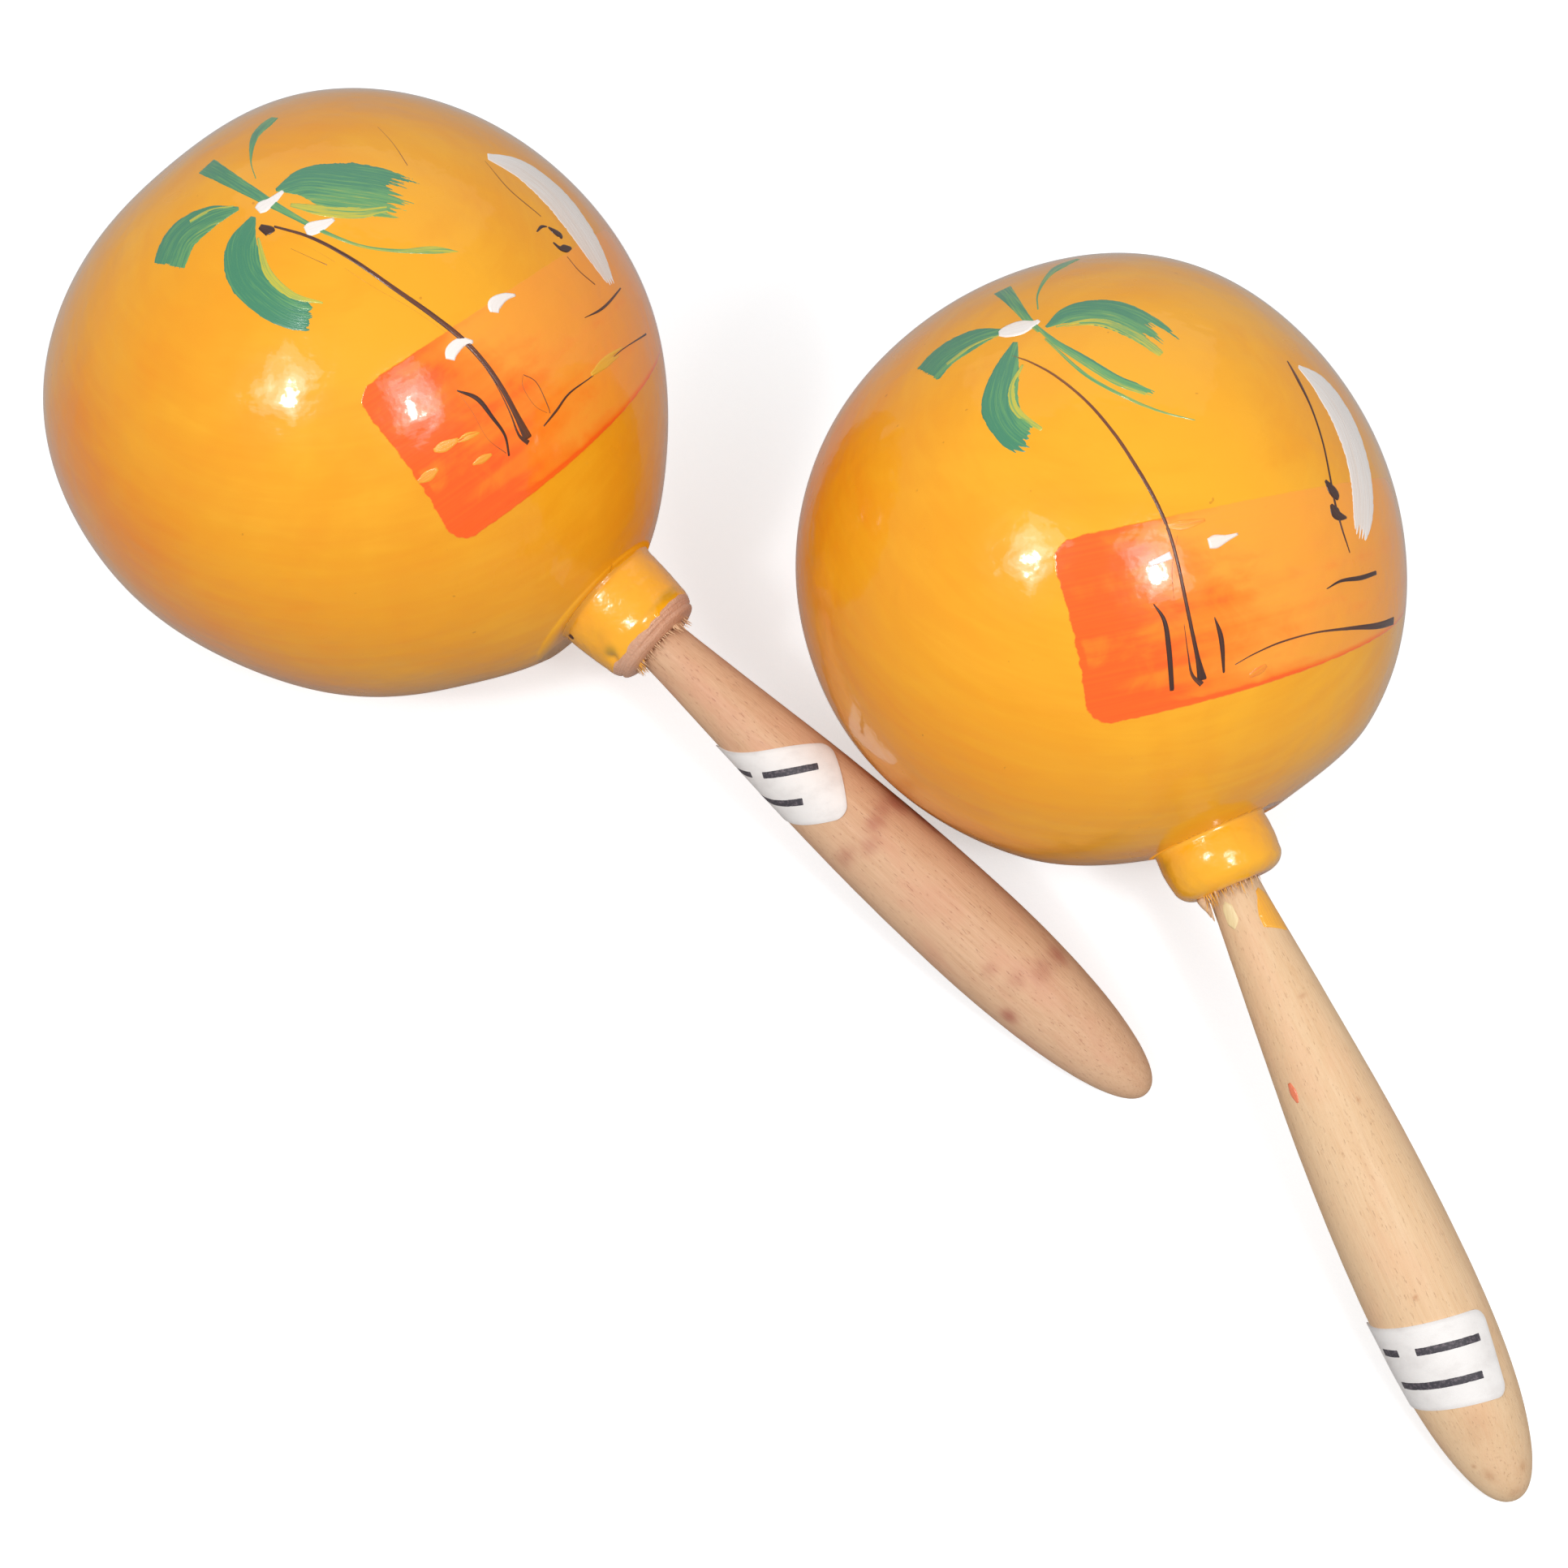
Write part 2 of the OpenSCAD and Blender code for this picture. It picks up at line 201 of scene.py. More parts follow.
@dataclass
class Skin:
    """A closed skin: corners in metres, faces, and marks that materials read at each corner."""

    points: Numbers
    quads: NDArray[np.int64]
    tris: NDArray[np.int64]
    marks: dict[str, Numbers]

    @classmethod
    def wrap(cls, rings: Numbers, marks: dict[str, Numbers], ends: Ends = Ends.POLES) -> "Skin":
        """Joins rings of corners into a closed skin with its faces outwards.

        Each ring closes on itself. Rings end in a pole at the mean of the first and the
        last ring, or the last ring joins the first.

        Args:
            rings: Corners as (ring, place, xyz), in metres.
            marks: Numbers or vectors at each corner, by name.
            ends: How the rings end.

        Returns:
            The skin.
        """
        rows, cols = rings.shape[:2]
        at = np.arange(rows * cols).reshape(rows, cols)
        if ends is Ends.JOINED:
            at = np.vstack([at, at[:1]])
        turned = np.roll(at, -1, axis=1)
        quads = np.stack([at[:-1], turned[:-1], turned[1:], at[1:]], axis=-1).reshape(-1, 4)
        points = rings.reshape(-1, 3)
        flat = {name: mark.reshape(rows * cols, -1) for name, mark in marks.items()}
        tris = np.zeros((0, 3), dtype=np.int64)
        if ends is Ends.POLES:
            first, last = rows * cols, rows * cols + 1
            points = np.vstack([points, rings[0].mean(0), rings[-1].mean(0)])
            flat = {n: np.vstack([m, m[:cols].mean(0), m[-cols:].mean(0)]) for n, m in flat.items()}
            start = np.stack([np.full(cols, first), turned[0], at[0]], axis=-1)
            stop = np.stack([np.full(cols, last), at[-1], turned[-1]], axis=-1)
            tris = np.vstack([start, stop])
        skin = cls(points, quads, tris, flat)
        if skin.volume() < 0:
            skin.quads, skin.tris = quads[:, ::-1], tris[:, ::-1]
        return skin

    def volume(self) -> float:
        """Enclosed volume: a sixth of the sum of each triangle's triple product.

        Returns:
            The volume in cubic metres, below 0 for faces that point inwards.
        """
        corners = self.points - self.points.mean(0)
        halves = np.vstack([self.quads[:, :3], self.quads[:, [0, 2, 3]], self.tris])
        a, b, c = (corners[halves[:, k]] for k in range(3))
        return float(np.einsum("ij,ij->", a, np.cross(b, c)) / 6)

    @classmethod
    def together(cls, skins: list["Skin"]) -> "Skin":
        """Several skins as one, each with its own corners.

        Args:
            skins: Skins whose marks have the same names.

        Returns:
            The one skin.
        """
        steps = np.cumsum([0] + [len(s.points) for s in skins])
        return cls(
            np.vstack([s.points for s in skins]),
            np.vstack([s.quads + n for s, n in zip(skins, steps)]),
            np.vstack([s.tris + n for s, n in zip(skins, steps)]),
            {name: np.vstack([s.marks[name] for s in skins]) for name in skins[0].marks},
        )

    def make(
        self, name: str, finish: "Finish", body: str, stands_for: tuple[str, ...] = (),
    ) -> bpy.types.Object:
        """Makes the skin an object that rides on a body.

        Args:
            name: The object's name.
            finish: Its finish.
            body: The body that carries it.
            stands_for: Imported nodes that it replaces.

        Returns:
            The object.
        """
        mesh = bpy.data.meshes.new(name)
        mesh.vertices.add(len(self.points))
        mesh.vertices.foreach_set("co", self.points.astype(np.float32).ravel())
        corners = np.concatenate([self.quads.ravel(), self.tris.ravel()])
        mesh.loops.add(len(corners))
        mesh.loops.foreach_set("vertex_index", corners.astype(np.int32))
        quads, tris = len(self.quads), len(self.tris)
        starts = np.concatenate([4 * np.arange(quads), 4 * quads + 3 * np.arange(tris)])
        mesh.polygons.add(quads + tris)
        mesh.polygons.foreach_set("loop_start", starts.astype(np.int32))
        mesh.polygons.foreach_set("use_smooth", np.ones(quads + tris, dtype=bool))
        mesh.update(calc_edges=True)
        for label, mark in self.marks.items():
            vector = mark.shape[1] == 3
            kind = "FLOAT_VECTOR" if vector else "FLOAT"
            layer = mesh.attributes.new(label, kind, "POINT")
            layer.data.foreach_set("vector" if vector else "value", mark.astype(np.float32).ravel())
        mesh.validate()
        piece = bpy.data.objects.new(name, mesh)
        bpy.context.scene.collection.objects.link(piece)
        mesh.materials.append(finish.material())
        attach(piece, body)
        if stands_for:
            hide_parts(*stands_for)
        log.info("%s: %d triangles", name, 2 * quads + tris)
        return piece


# ---- Finishes ----


class Board:
    """A material's nodes, with short calls that add and join them."""

    def __init__(self, name: str) -> None:
        """Starts an empty material with one principled shader.

        Args:
            name: The material's name.
        """
        self.stuff = bpy.data.materials.new(name)
        self.stuff.use_nodes = True
        self.nodes = self.stuff.node_tree.nodes
        self.links = self.stuff.node_tree.links
        self.shader = self.nodes["Principled BSDF"]

    def put(self, socket: bpy.types.NodeSocket, value: object) -> None:
        """Joins a socket to another, or sets it to a number or colour.

        Args:
            socket: The input to set.
            value: A number, a colour, or an output to join to it.
        """
        if isinstance(value, bpy.types.NodeSocket):
            self.links.new(value, socket)
        elif isinstance(value, tuple) and len(socket.default_value) == 4:
            socket.default_value = (*value, 1.0)
        else:
            socket.default_value = value

    def place(self) -> bpy.types.NodeSocket:
        """Places on the object, in metres."""
        return self.nodes.new("ShaderNodeTexCoord").outputs["Object"]

    def mark(self, name: str, vector: bool = False) -> bpy.types.NodeSocket:
        """A mark of the mesh, as a number or a vector.

        Args:
            name: The mark's name.
            vector: Whether the mark has three parts.

        Returns:
            The mark's output.
        """
        node = self.nodes.new("ShaderNodeAttribute")
        node.attribute_name = name
        return node.outputs["Vector" if vector else "Fac"]

    def part(self, vector: bpy.types.NodeSocket, axis: str) -> bpy.types.NodeSocket:
        """One of a vector's X, Y and Z.

        Args:
            vector: The vector's output.
            axis: Which part, by its letter.

        Returns:
            The part's output.
        """
        node = self.nodes.new("ShaderNodeSeparateXYZ")
        self.put(node.inputs[0], vector)
        return node.outputs[axis]

    def stretch(
        self, vector: bpy.types.NodeSocket, scale: Colour, shift: Colour = (0.0, 0.0, 0.0),
    ) -> bpy.types.NodeSocket:
        """A vector scaled along its axes and shifted.

        Args:
            vector: The vector's output.
            scale: Factor along each axis.
            shift: Added after the scaling.

        Returns:
            The new vector's output.
        """
        node = self.nodes.new("ShaderNodeMapping")
        self.put(node.inputs["Vector"], vector)
        node.inputs["Scale"].default_value = scale
        node.inputs["Location"].default_value = shift
        return node.outputs[0]

    def noise(
        self, vector: bpy.types.NodeSocket, scale: float, detail: float = 3.0, rough: float = 0.5,
        warp: float = 0.0,
    ) -> bpy.types.NodeSocket:
        """Noise from 0 to 1 round 0.5.

        Args:
            vector: Where the noise is read.
            scale: Patches to a unit of the vector.
            detail: How many finer layers are added.
            rough: Strength of each finer layer against the one before.
            warp: How far the noise pulls itself about.

        Returns:
            The noise's output.
        """
        node = self.nodes.new("ShaderNodeTexNoise")
        self.put(node.inputs["Vector"], vector)
        node.inputs["Scale"].default_value = scale
        node.inputs["Detail"].default_value = detail
        node.inputs["Roughness"].default_value = rough
        node.inputs["Distortion"].default_value = warp
        return node.outputs["Fac"]

    def math(self, how: str, a: object, b: object = 0.0, c: object = 0.0) -> bpy.types.NodeSocket:
        """A number worked out from up to three others.

        Args:
            how: Blender's name of the working.
            a: First number or output.
            b: Second.
            c: Third.

        Returns:
            The result's output.
        """
        node = self.nodes.new("ShaderNodeMath")
        node.operation = how
        for socket, value in zip(node.inputs, (a, b, c)):
            self.put(socket, value)
        return node.outputs[0]

    def add(self, a: object, b: object) -> bpy.types.NodeSocket:
        """The sum of two numbers."""
        return self.math("ADD", a, b)

    def times(self, a: object, b: object) -> bpy.types.NodeSocket:
        """The product of two numbers."""
        return self.math("MULTIPLY", a, b)

    def swing(self, noise: object, reach: float) -> bpy.types.NodeSocket:
        """Noise made to swing by half of its reach to each side of 0."""
        return self.math("MULTIPLY_ADD", noise, reach, -reach / 2)

    def span(
        self, value: object, low: float, high: float, to_low: float = 0.0, to_high: float = 1.0,
    ) -> bpy.types.NodeSocket:
        """An S-curve from to_low to to_high as a value goes from low to high.

        Args:
            value: The number that is followed.
            low: Where the curve starts.
            high: Where it ends, which may be below low.
            to_low: The result at low and before it.
            to_high: The result at high and past it.

        Returns:
            The result's output.
        """
        node = self.nodes.new("ShaderNodeMapRange")
        node.interpolation_type = "SMOOTHSTEP"
        for name, number in zip(
            ("Value", "From Min", "From Max", "To Min", "To Max"), (value, low, high, to_low, to_high),
        ):
            self.put(node.inputs[name], number)
        return node.outputs[0]

    def mix(self, share: object, a: object, b: object) -> bpy.types.NodeSocket:
        """Colour a turning into colour b as the share goes from 0 to 1.

        Args:
            share: The share of b.
            a: First colour or output.
            b: Second colour or output.

        Returns:
            The mixed colour's output.
        """
        node = self.nodes.new("ShaderNodeMix")
        node.data_type = "RGBA"
        self.put(node.inputs[0], share)
        self.put(node.inputs[6], a)
        self.put(node.inputs[7], b)
        return node.outputs[2]

    def bump(self, height: object, depth: float, under: object = None) -> bpy.types.NodeSocket:
        """Surface direction of a height field whose full range is depth metres high.

        Args:
            height: The height's output.
            depth: Metres from height 0 to height 1.
            under: A relief that this one lies on.

        Returns:
            The direction's output.
        """
        node = self.nodes.new("ShaderNodeBump")
        node.inputs["Strength"].default_value = 1.0
        node.inputs["Distance"].default_value = depth
        self.put(node.inputs["Height"], height)
        if under is not None:
            self.put(node.inputs["Normal"], under)
        return node.outputs[0]

    def shade(self, **sockets: object) -> bpy.types.Material:
        """Sets the shader's sockets, whose names are given with low lines for spaces.

        Args:
            **sockets: Numbers, colours or outputs, by socket.

        Returns:
            The material.
        """
        for name, value in sockets.items():
            self.put(self.shader.inputs[name.replace("_", " ").title().replace("Ior", "IOR")], value)
        return self.stuff


@dataclass(frozen=True)
class Finish:
    """What a surface is finished with."""

    name: str
    slot: str

    def material(self) -> bpy.types.Material:
        """The finish's material, made once."""
        return bpy.data.materials.get(self.name) or self.build(Board(self.name))

    def build(self, board: Board) -> bpy.types.Material:
        """Builds the material on a board."""
        raise NotImplementedError


@dataclass(frozen=True)
class GourdLacquer(Finish):
    """Glossy amber-yellow lacquer, unevenly brushed, with a thin red-orange sea over it.

    The mesh gives "sea", whose parts are the distances in mm along the brush from the
    sea's blunt end, across it from its middle, and inwards from its edge, and a shading
    mark, the share by which the yellow turns to orange: it paints shade where it is high
    and paints light, in a paler yellow, where it is below 0.
    """

    yellow: Colour = (0.86, 0.355, 0.012)
    # Besides the lacquer's uneven tone, amber paints shade and glow paints light where the shading mark says
    # so.
    amber: Colour = (0.83, 0.25, 0.008)
    glow: Colour = (0.90, 0.415, 0.018)
    sea_red: Colour = (0.94, 0.115, 0.012)
    sea_orange: Colour = (0.94, 0.215, 0.015)
    sea_thin: Colour = (0.96, 0.33, 0.045)
    speck: Colour = (0.40, 0.12, 0.01)
    sea_reach: float = 34.0

    def build(self, board: Board) -> bpy.types.Material:
        """Mixes yellow, amber and sea, and roughens the gloss with small ripples.

        Args:
            board: The material's board.

        Returns:
            The material.
        """
        place = board.place()
        clouds = board.noise(place, 20.0, 3.0, 0.6, 0.8)
        brushed = board.noise(board.stretch(place, (30.0, 70.0, 330.0)), 1.0, 3.0, 0.6, 0.5)
        # The shading mark paints shade in amber near the edge of the painted face, mostly at its left and
        # lower left, and paints light in the paler glow yellow above its middle; clouds and brush noise add
        # the lacquer's own uneven tone.
        deep = board.add(board.mark("deep"), board.swing(clouds, 1.5))
        deep = board.add(deep, board.swing(brushed, 0.7))
        body = board.mix(board.span(deep, -0.1, 0.9), self.yellow, self.amber)
        body = board.mix(board.span(deep, 0.05, -0.4, 0.0, 0.8), body, self.glow)
        specks = board.span(board.noise(place, 620.0, 1.0, 0.4), 0.80, 0.84)
        body = board.mix(board.times(specks, 0.4), body, self.speck)

        sea = board.mark("sea", vector=True)
        along, over, edge = (board.part(sea, axis) for axis in "XYZ")
        ragged = board.noise(board.stretch(sea, (0.42, 0.42, 0.0)), 1.0, 3.0, 0.6)
        near_end = board.span(along, 1.0, 12.0, 1.5, 0.5)
        edge = board.add(edge, board.times(board.math("SUBTRACT", ragged, 0.5), near_end))
        inside = board.span(edge, -0.10, 0.22)
        bands = board.noise(board.stretch(sea, (0.018, 0.19, 0.0)), 1.0, 2.0, 0.5)
        hairs = board.noise(board.stretch(sea, (0.03, 1.7, 0.0)), 1.0, 3.0, 0.65)
        blots = board.noise(board.stretch(sea, (0.11, 0.13, 0.0), (7.0, 3.0, 0.0)), 1.0, 3.0, 0.6, 0.8)
        thin = board.span(along, 6.0, self.sea_reach + 14.0)
        thin = board.add(thin, board.swing(bands, 1.1))
        thin = board.add(thin, board.swing(blots, 0.9))
        upper = board.times(board.span(over, 2.0, 13.0), board.span(along, 8.0, 30.0))
        thin = board.add(thin, board.times(upper, 0.55))
        rim = board.times(board.span(edge, 1.6, 0.1), board.span(over, 8.0, -8.0, 0.12, 0.75))
        thin = board.math("SUBTRACT", thin, rim)
        wash = board.mix(board.span(thin, 0.0, 0.45), self.sea_red, self.sea_orange)
        wash = board.mix(board.span(thin, 0.35, 1.05), wash, self.sea_thin)
        cover = board.add(board.span(thin, 0.35, 1.25, 0.97, 0.62), board.swing(hairs, 0.3))
        body = board.mix(board.times(inside, cover), body, wash)

        relief = board.bump(board.noise(place, 75.0, 2.0, 0.5, 0.5), 0.00034)
        relief = board.bump(board.noise(place, 300.0, 2.0, 0.5), 0.00007, relief)
        streaks = board.noise(board.stretch(place, (90.0, 180.0, 1200.0)), 1.0, 2.0, 0.5)
        relief = board.bump(streaks, 0.000014, relief)
        relief = board.bump(inside, 0.00004, relief)
        gloss = board.span(board.noise(place, 60.0, 3.0, 0.6), 0.3, 0.7, 0.27, 0.40)
        return board.shade(
            base_color=body, roughness=gloss, normal=relief, coat_normal=relief,
            coat_weight=1.0, coat_roughness=0.07, coat_ior=1.38, specular_ior_level=0.12,
        )


@dataclass(frozen=True)
class CollarLacquer(Finish):
    """Thick glossy lacquer that pools dark and greenish, and ends before bare torn wood.

    The mesh gives "bare", over 0.5 where the wood shows, and "pool", the share of dark.
    """

    yellow: Colour = (0.94, 0.43, 0.008)
    orange: Colour = (0.94, 0.35, 0.008)
    pooled: Colour = (0.48, 0.26, 0.012)
    wood: Colour = (0.76, 0.43, 0.28)
    wood_dark: Colour = (0.64, 0.32, 0.19)

    def build(self, board: Board) -> bpy.types.Material:
        """Mixes lacquer and bare wood, with a thick edge where the lacquer ends.

        Args:
            board: The material's board.

        Returns:
            The material.
        """
        place = board.place()
        own = board.mark("own", vector=True)
        clouds = board.noise(place, 110.0, 3.0, 0.5, 0.6)
        coat = board.mix(board.span(clouds, 0.45, 0.8, 0.0, 0.4), self.yellow, self.orange)
        pool = board.add(board.mark("pool"), board.swing(clouds, 0.6))
        coat = board.mix(board.span(pool, 0.2, 0.95, 0.0, 0.85), coat, self.pooled)
        fibres = board.noise(board.stretch(own, (0.12, 2.2, 2.2)), 1.0, 4.0, 0.65, 0.3)
        rings = board.noise(board.stretch(own, (2.6, 0.12, 0.12)), 1.0, 3.0, 0.6)
        lines = board.math("MULTIPLY_ADD", rings, 0.6, board.times(fibres, 0.4))
        wood = board.mix(board.span(lines, 0.3, 0.7), self.wood_dark, self.wood)
        shown = board.span(board.mark("bare"), 0.47, 0.53)
        relief = board.bump(board.noise(place, 420.0, 2.0, 0.5), 0.00016)
        relief = board.bump(board.times(shown, board.add(fibres, rings)), 0.00035, relief)
        relief = board.bump(board.math("SUBTRACT", 1.0, shown), 0.00030, relief)
        return board.shade(
            base_color=board.mix(shown, coat, wood), roughness=board.span(shown, 0.0, 1.0, 0.26, 0.75),
            normal=relief, coat_normal=relief, coat_weight=0.75, coat_roughness=0.05, coat_ior=1.5,
        )


@dataclass(frozen=True)
class TurnedWood(Finish):
    """Turned wood with lengthwise grain, short pores and staining, under a thin satin varnish; the same dark
    also paints shade on the left handle where the right gourd leans over it.

    The mesh gives "own", the place in mm from the handle's axis, and a mark of where the wood darkens:
    staining, and on the left handle painted shade among it.
    """

    pale: Colour = (0.71, 0.45, 0.28)
    dark: Colour = (0.59, 0.34, 0.195)
    warm: Colour = (0.66, 0.33, 0.21)
    stain: Colour = (0.40, 0.12, 0.08)
    pores: float = 0.8

    def build(self, board: Board) -> bpy.types.Material:
        """Mixes broad bands, fine grain, pores, staining and painted shade.

        Args:
            board: The material's board.

        Returns:
            The material.
        """
        own = board.mark("own", vector=True)
        bands = board.noise(board.stretch(own, (0.020, 0.16, 0.16)), 1.0, 3.0, 0.5, 1.6)
        grain = board.noise(board.stretch(own, (0.045, 1.6, 1.6)), 1.0, 4.0, 0.7, 0.5)
        hairs = board.noise(board.stretch(own, (0.10, 6.0, 6.0)), 1.0, 2.0, 0.6, 0.3)
        blotch = board.noise(board.stretch(own, (0.05, 0.12, 0.12), (3.0, 1.0, 2.0)), 1.0, 3.0, 0.6)
        tone = board.add(board.times(bands, 0.35), board.times(grain, 0.40))
        tone = board.add(tone, board.times(hairs, 0.25))
        wood = board.mix(board.span(tone, 0.28, 0.62), self.dark, self.pale)
        wood = board.mix(board.span(blotch, 0.42, 0.72, 0.0, 0.55), wood, self.warm)
        pits = board.noise(board.stretch(own, (0.55, 3.4, 3.4), (11.0, 5.0, 2.0)), 1.0, 2.0, 0.55)
        pits = board.span(pits, 0.63, 0.72)
        wood = board.mix(board.times(pits, self.pores * 0.5), wood, self.stain)
        ragged = board.swing(board.noise(board.stretch(own, (0.10, 0.5, 0.5)), 1.0, 4.0, 0.65), 0.7)
        # The dark mark is staining, and on the left handle also painted shade under the right gourd.
        mark = board.mark("stain")
        stained_and_shaded = board.span(board.add(mark, board.times(ragged, board.span(mark, 0.0, 0.4))), 0.0, 1.0)
        wood = board.mix(board.times(stained_and_shaded, 0.9), wood, self.stain)
        relief = board.bump(board.math("SUBTRACT", grain, board.times(pits, 0.5)), 0.00010)
        relief = board.bump(hairs, 0.00004, relief)
        gloss = board.span(grain, 0.3, 0.7, 0.66, 0.52)
        return board.shade(
            base_color=wood, roughness=gloss, normal=relief, specular_ior_level=0.3, coat_weight=0.06,
            coat_roughness=0.3,
        )


@dataclass(frozen=True)
class BrushPaint(Finish):
    """Enamel laid with a brush: hairlines run along the stroke from dark to light.

    The mesh gives "brush", whose parts are mm along and across the stroke and its seed,
    and "tone", from 0 for dark to 1 for light.
    """

    dark: Colour = (0.050, 0.235, 0.125)
    middle: Colour = (0.125, 0.350, 0.120)
    light: Colour = (0.56, 0.50, 0.045)
    hair: float = 0.9
    rough: float = 0.32
    gloss: float = 0.6

    def build(self, board: Board) -> bpy.types.Material:
        """Mixes the three tones by the stroke's own tone and its hairlines.

        Args:
            board: The material's board.

        Returns:
            The material.
        """
        brush = board.mark("brush", vector=True)
        hairs = board.noise(board.stretch(brush, (0.10, 2.6, 9.0)), 1.0, 3.0, 0.65, 0.2)
        fine = board.noise(board.stretch(brush, (0.5, 9.0, 5.0)), 1.0, 2.0, 0.5)
        tone = board.add(board.mark("tone"), board.swing(hairs, 2 * self.hair))
        tone = board.add(tone, board.swing(fine, 0.4 * self.hair))
        colour = board.mix(board.span(tone, 0.0, 0.5), self.dark, self.middle)
        colour = board.mix(board.span(tone, 0.45, 1.0), colour, self.light)
        relief = board.bump(board.add(hairs, board.times(fine, 0.4)), 0.00007)
        return board.shade(
            base_color=colour, roughness=self.rough, normal=relief, coat_normal=relief,
            coat_weight=self.gloss, coat_roughness=0.12,
        )


@dataclass(frozen=True)
class LabelPaper(Finish):
    """White coated paper, a little grey and worn along its edge.

    The mesh gives "sheet": mm across, mm down, and mm inwards from the paper's edge.
    """

    white: Colour = (0.83, 0.80, 0.78)
    grey: Colour = (0.66, 0.62, 0.60)

    def build(self, board: Board) -> bpy.types.Material:
        """Mottles the white with grey and gives the paper a fine tooth.

        Args:
            board: The material's board.

        Returns:
            The material.
        """
        sheet = board.mark("sheet", vector=True)
        clouds = board.noise(board.stretch(sheet, (0.18, 0.25, 0.0)), 1.0, 4.0, 0.6)
        tooth = board.noise(board.stretch(sheet, (6.0, 6.0, 0.0)), 1.0, 2.0, 0.6)
        worn = board.times(board.span(board.part(sheet, "Z"), 0.9, 0.0), 0.5)
        shade = board.add(board.span(clouds, 0.4, 0.75, 0.0, 0.5), worn)
        relief = board.bump(board.add(tooth, clouds), 0.00005)
        return board.shade(
            base_color=board.mix(shade, self.white, self.grey), roughness=0.5, normal=relief,
            sheen_weight=0.1,
        )


@dataclass(frozen=True)
class PrintInk(Finish):
    """Dark grey printing ink, thin and uneven."""

    ink: Colour = (0.045, 0.04, 0.05)
    thin: Colour = (0.16, 0.13, 0.15)

    def build(self, board: Board) -> bpy.types.Material:
        """Mottles the ink.

        Args:
            board: The material's board.

        Returns:
            The material.
        """
        brush = board.mark("brush", vector=True)
        wear = board.noise(board.stretch(brush, (1.6, 1.6, 3.0)), 1.0, 3.0, 0.6)
        return board.shade(
            base_color=board.mix(board.span(wear, 0.45, 0.75), self.ink, self.thin), roughness=0.55,
        )


@dataclass(frozen=True)
class TornFibre(Finish):
    """Torn wood fibres, pale with paint on some of them.

    The mesh gives "tint", from 0 for bare to 1 for painted.
    """

    bare: Colour = (0.72, 0.46, 0.27)
    painted: Colour = (0.88, 0.42, 0.03)
    dark: Colour = (0.34, 0.16, 0.07)

    def build(self, board: Board) -> bpy.types.Material:
        """Mixes bare wood and paint, with fine lines along the fibres.

        Args:
            board: The material's board.

        Returns:
            The material.
        """
        place = board.place()
        lines = board.noise(place, 1400.0, 3.0, 0.6)
        colour = board.mix(board.mark("tint"), self.bare, self.painted)
        colour = board.mix(board.span(lines, 0.4, 0.8, 0.0, 0.5), colour, self.dark)
        return board.shade(base_color=colour, roughness=0.6, normal=board.bump(lines, 0.00008))


@dataclass(frozen=True)
class DullSteel(Finish):
    """Dark steel, dull and spotted with rust."""

    steel: Colour = (0.10, 0.07, 0.055)
    rust: Colour = (0.16, 0.05, 0.02)

    def build(self, board: Board) -> bpy.types.Material:
        """Spots the steel with rust and pits it.

        Args:
            board: The material's board.

        Returns:
            The material.
        """
        spots = board.noise(board.place(), 1500.0, 4.0, 0.65)
        share = board.span(spots, 0.42, 0.62)
        return board.shade(
            base_color=board.mix(share, self.steel, self.rust),
            metallic=board.span(share, 0.0, 1.0, 0.9, 0.1),
            roughness=board.span(spots, 0.3, 0.7, 0.35, 0.75), normal=board.bump(spots, 0.00006),
        )


@dataclass(frozen=True)
class SeedCoat(Finish):
    """The smooth brown coat of a dry seed."""

    brown: Colour = (0.16, 0.075, 0.035)
    tan: Colour = (0.36, 0.20, 0.10)

    def build(self, board: Board) -> bpy.types.Material:
        """Mottles the brown with tan.

        Args:
            board: The material's board.

        Returns:
            The material.
        """
        mottle = board.noise(board.place(), 520.0, 4.0, 0.6, 0.8)
        return board.shade(
            base_color=board.mix(board.span(mottle, 0.42, 0.68), self.brown, self.tan),
            roughness=board.span(mottle, 0.3, 0.7, 0.3, 0.5), normal=board.bump(mottle, 0.0001),
        )


# ---- Where a maraca lies, and what is painted on ----


@dataclass(frozen=True)
class Lie:
    """Where a maraca lies: the middle of its gourd in metres and its own three axes."""

    middle: Numbers
    axes: Numbers

    @classmethod
    def of(cls, side: Side, grip_x: float, offset: float) -> "Lie":
        """Reads a maraca's place from its grip, a mount whose place and axis the record holds.

        Args:
            side: Which maraca.
            grip_x: The grip's place along the handle, in mm from the middle of the gourd.
            offset: Distance in mm of the handle's axis from the middle of the gourd.

        Returns:
            The maraca's place.
        """
        mounts = {m["name"]: m for m in frame["record"]["mounts"]}
        grip = mounts[f"{side.value}_grip"]
        ahead = unit(np.array(grip["axis"], dtype=float))
        aside = unit(np.array([-ahead[1], ahead[0], 0.0]))
        axes = np.array([ahead, aside, np.cross(ahead, aside)])
        middle = np.array(grip["pos_m"], dtype=float) - MM * (grip_x * axes[0] + offset * axes[1])
        return cls(middle, axes)

    def out(self, local: Numbers) -> Numbers:
        """Own millimetres as metres in the pair's frame."""
        return self.middle + MM * (local @ self.axes)

    def own(self, direction: Numbers) -> Numbers:
        """A direction of the pair's frame, in the maraca's own."""
        return self.axes @ direction


class Canvas:
    """A surface that flat shapes are laid on."""

    def at(self, x: Numbers, y: Numbers, lift: Numbers) -> Numbers:
        """Places in metres of a flat shape's points, lifted off the surface by mm."""
        raise NotImplementedError


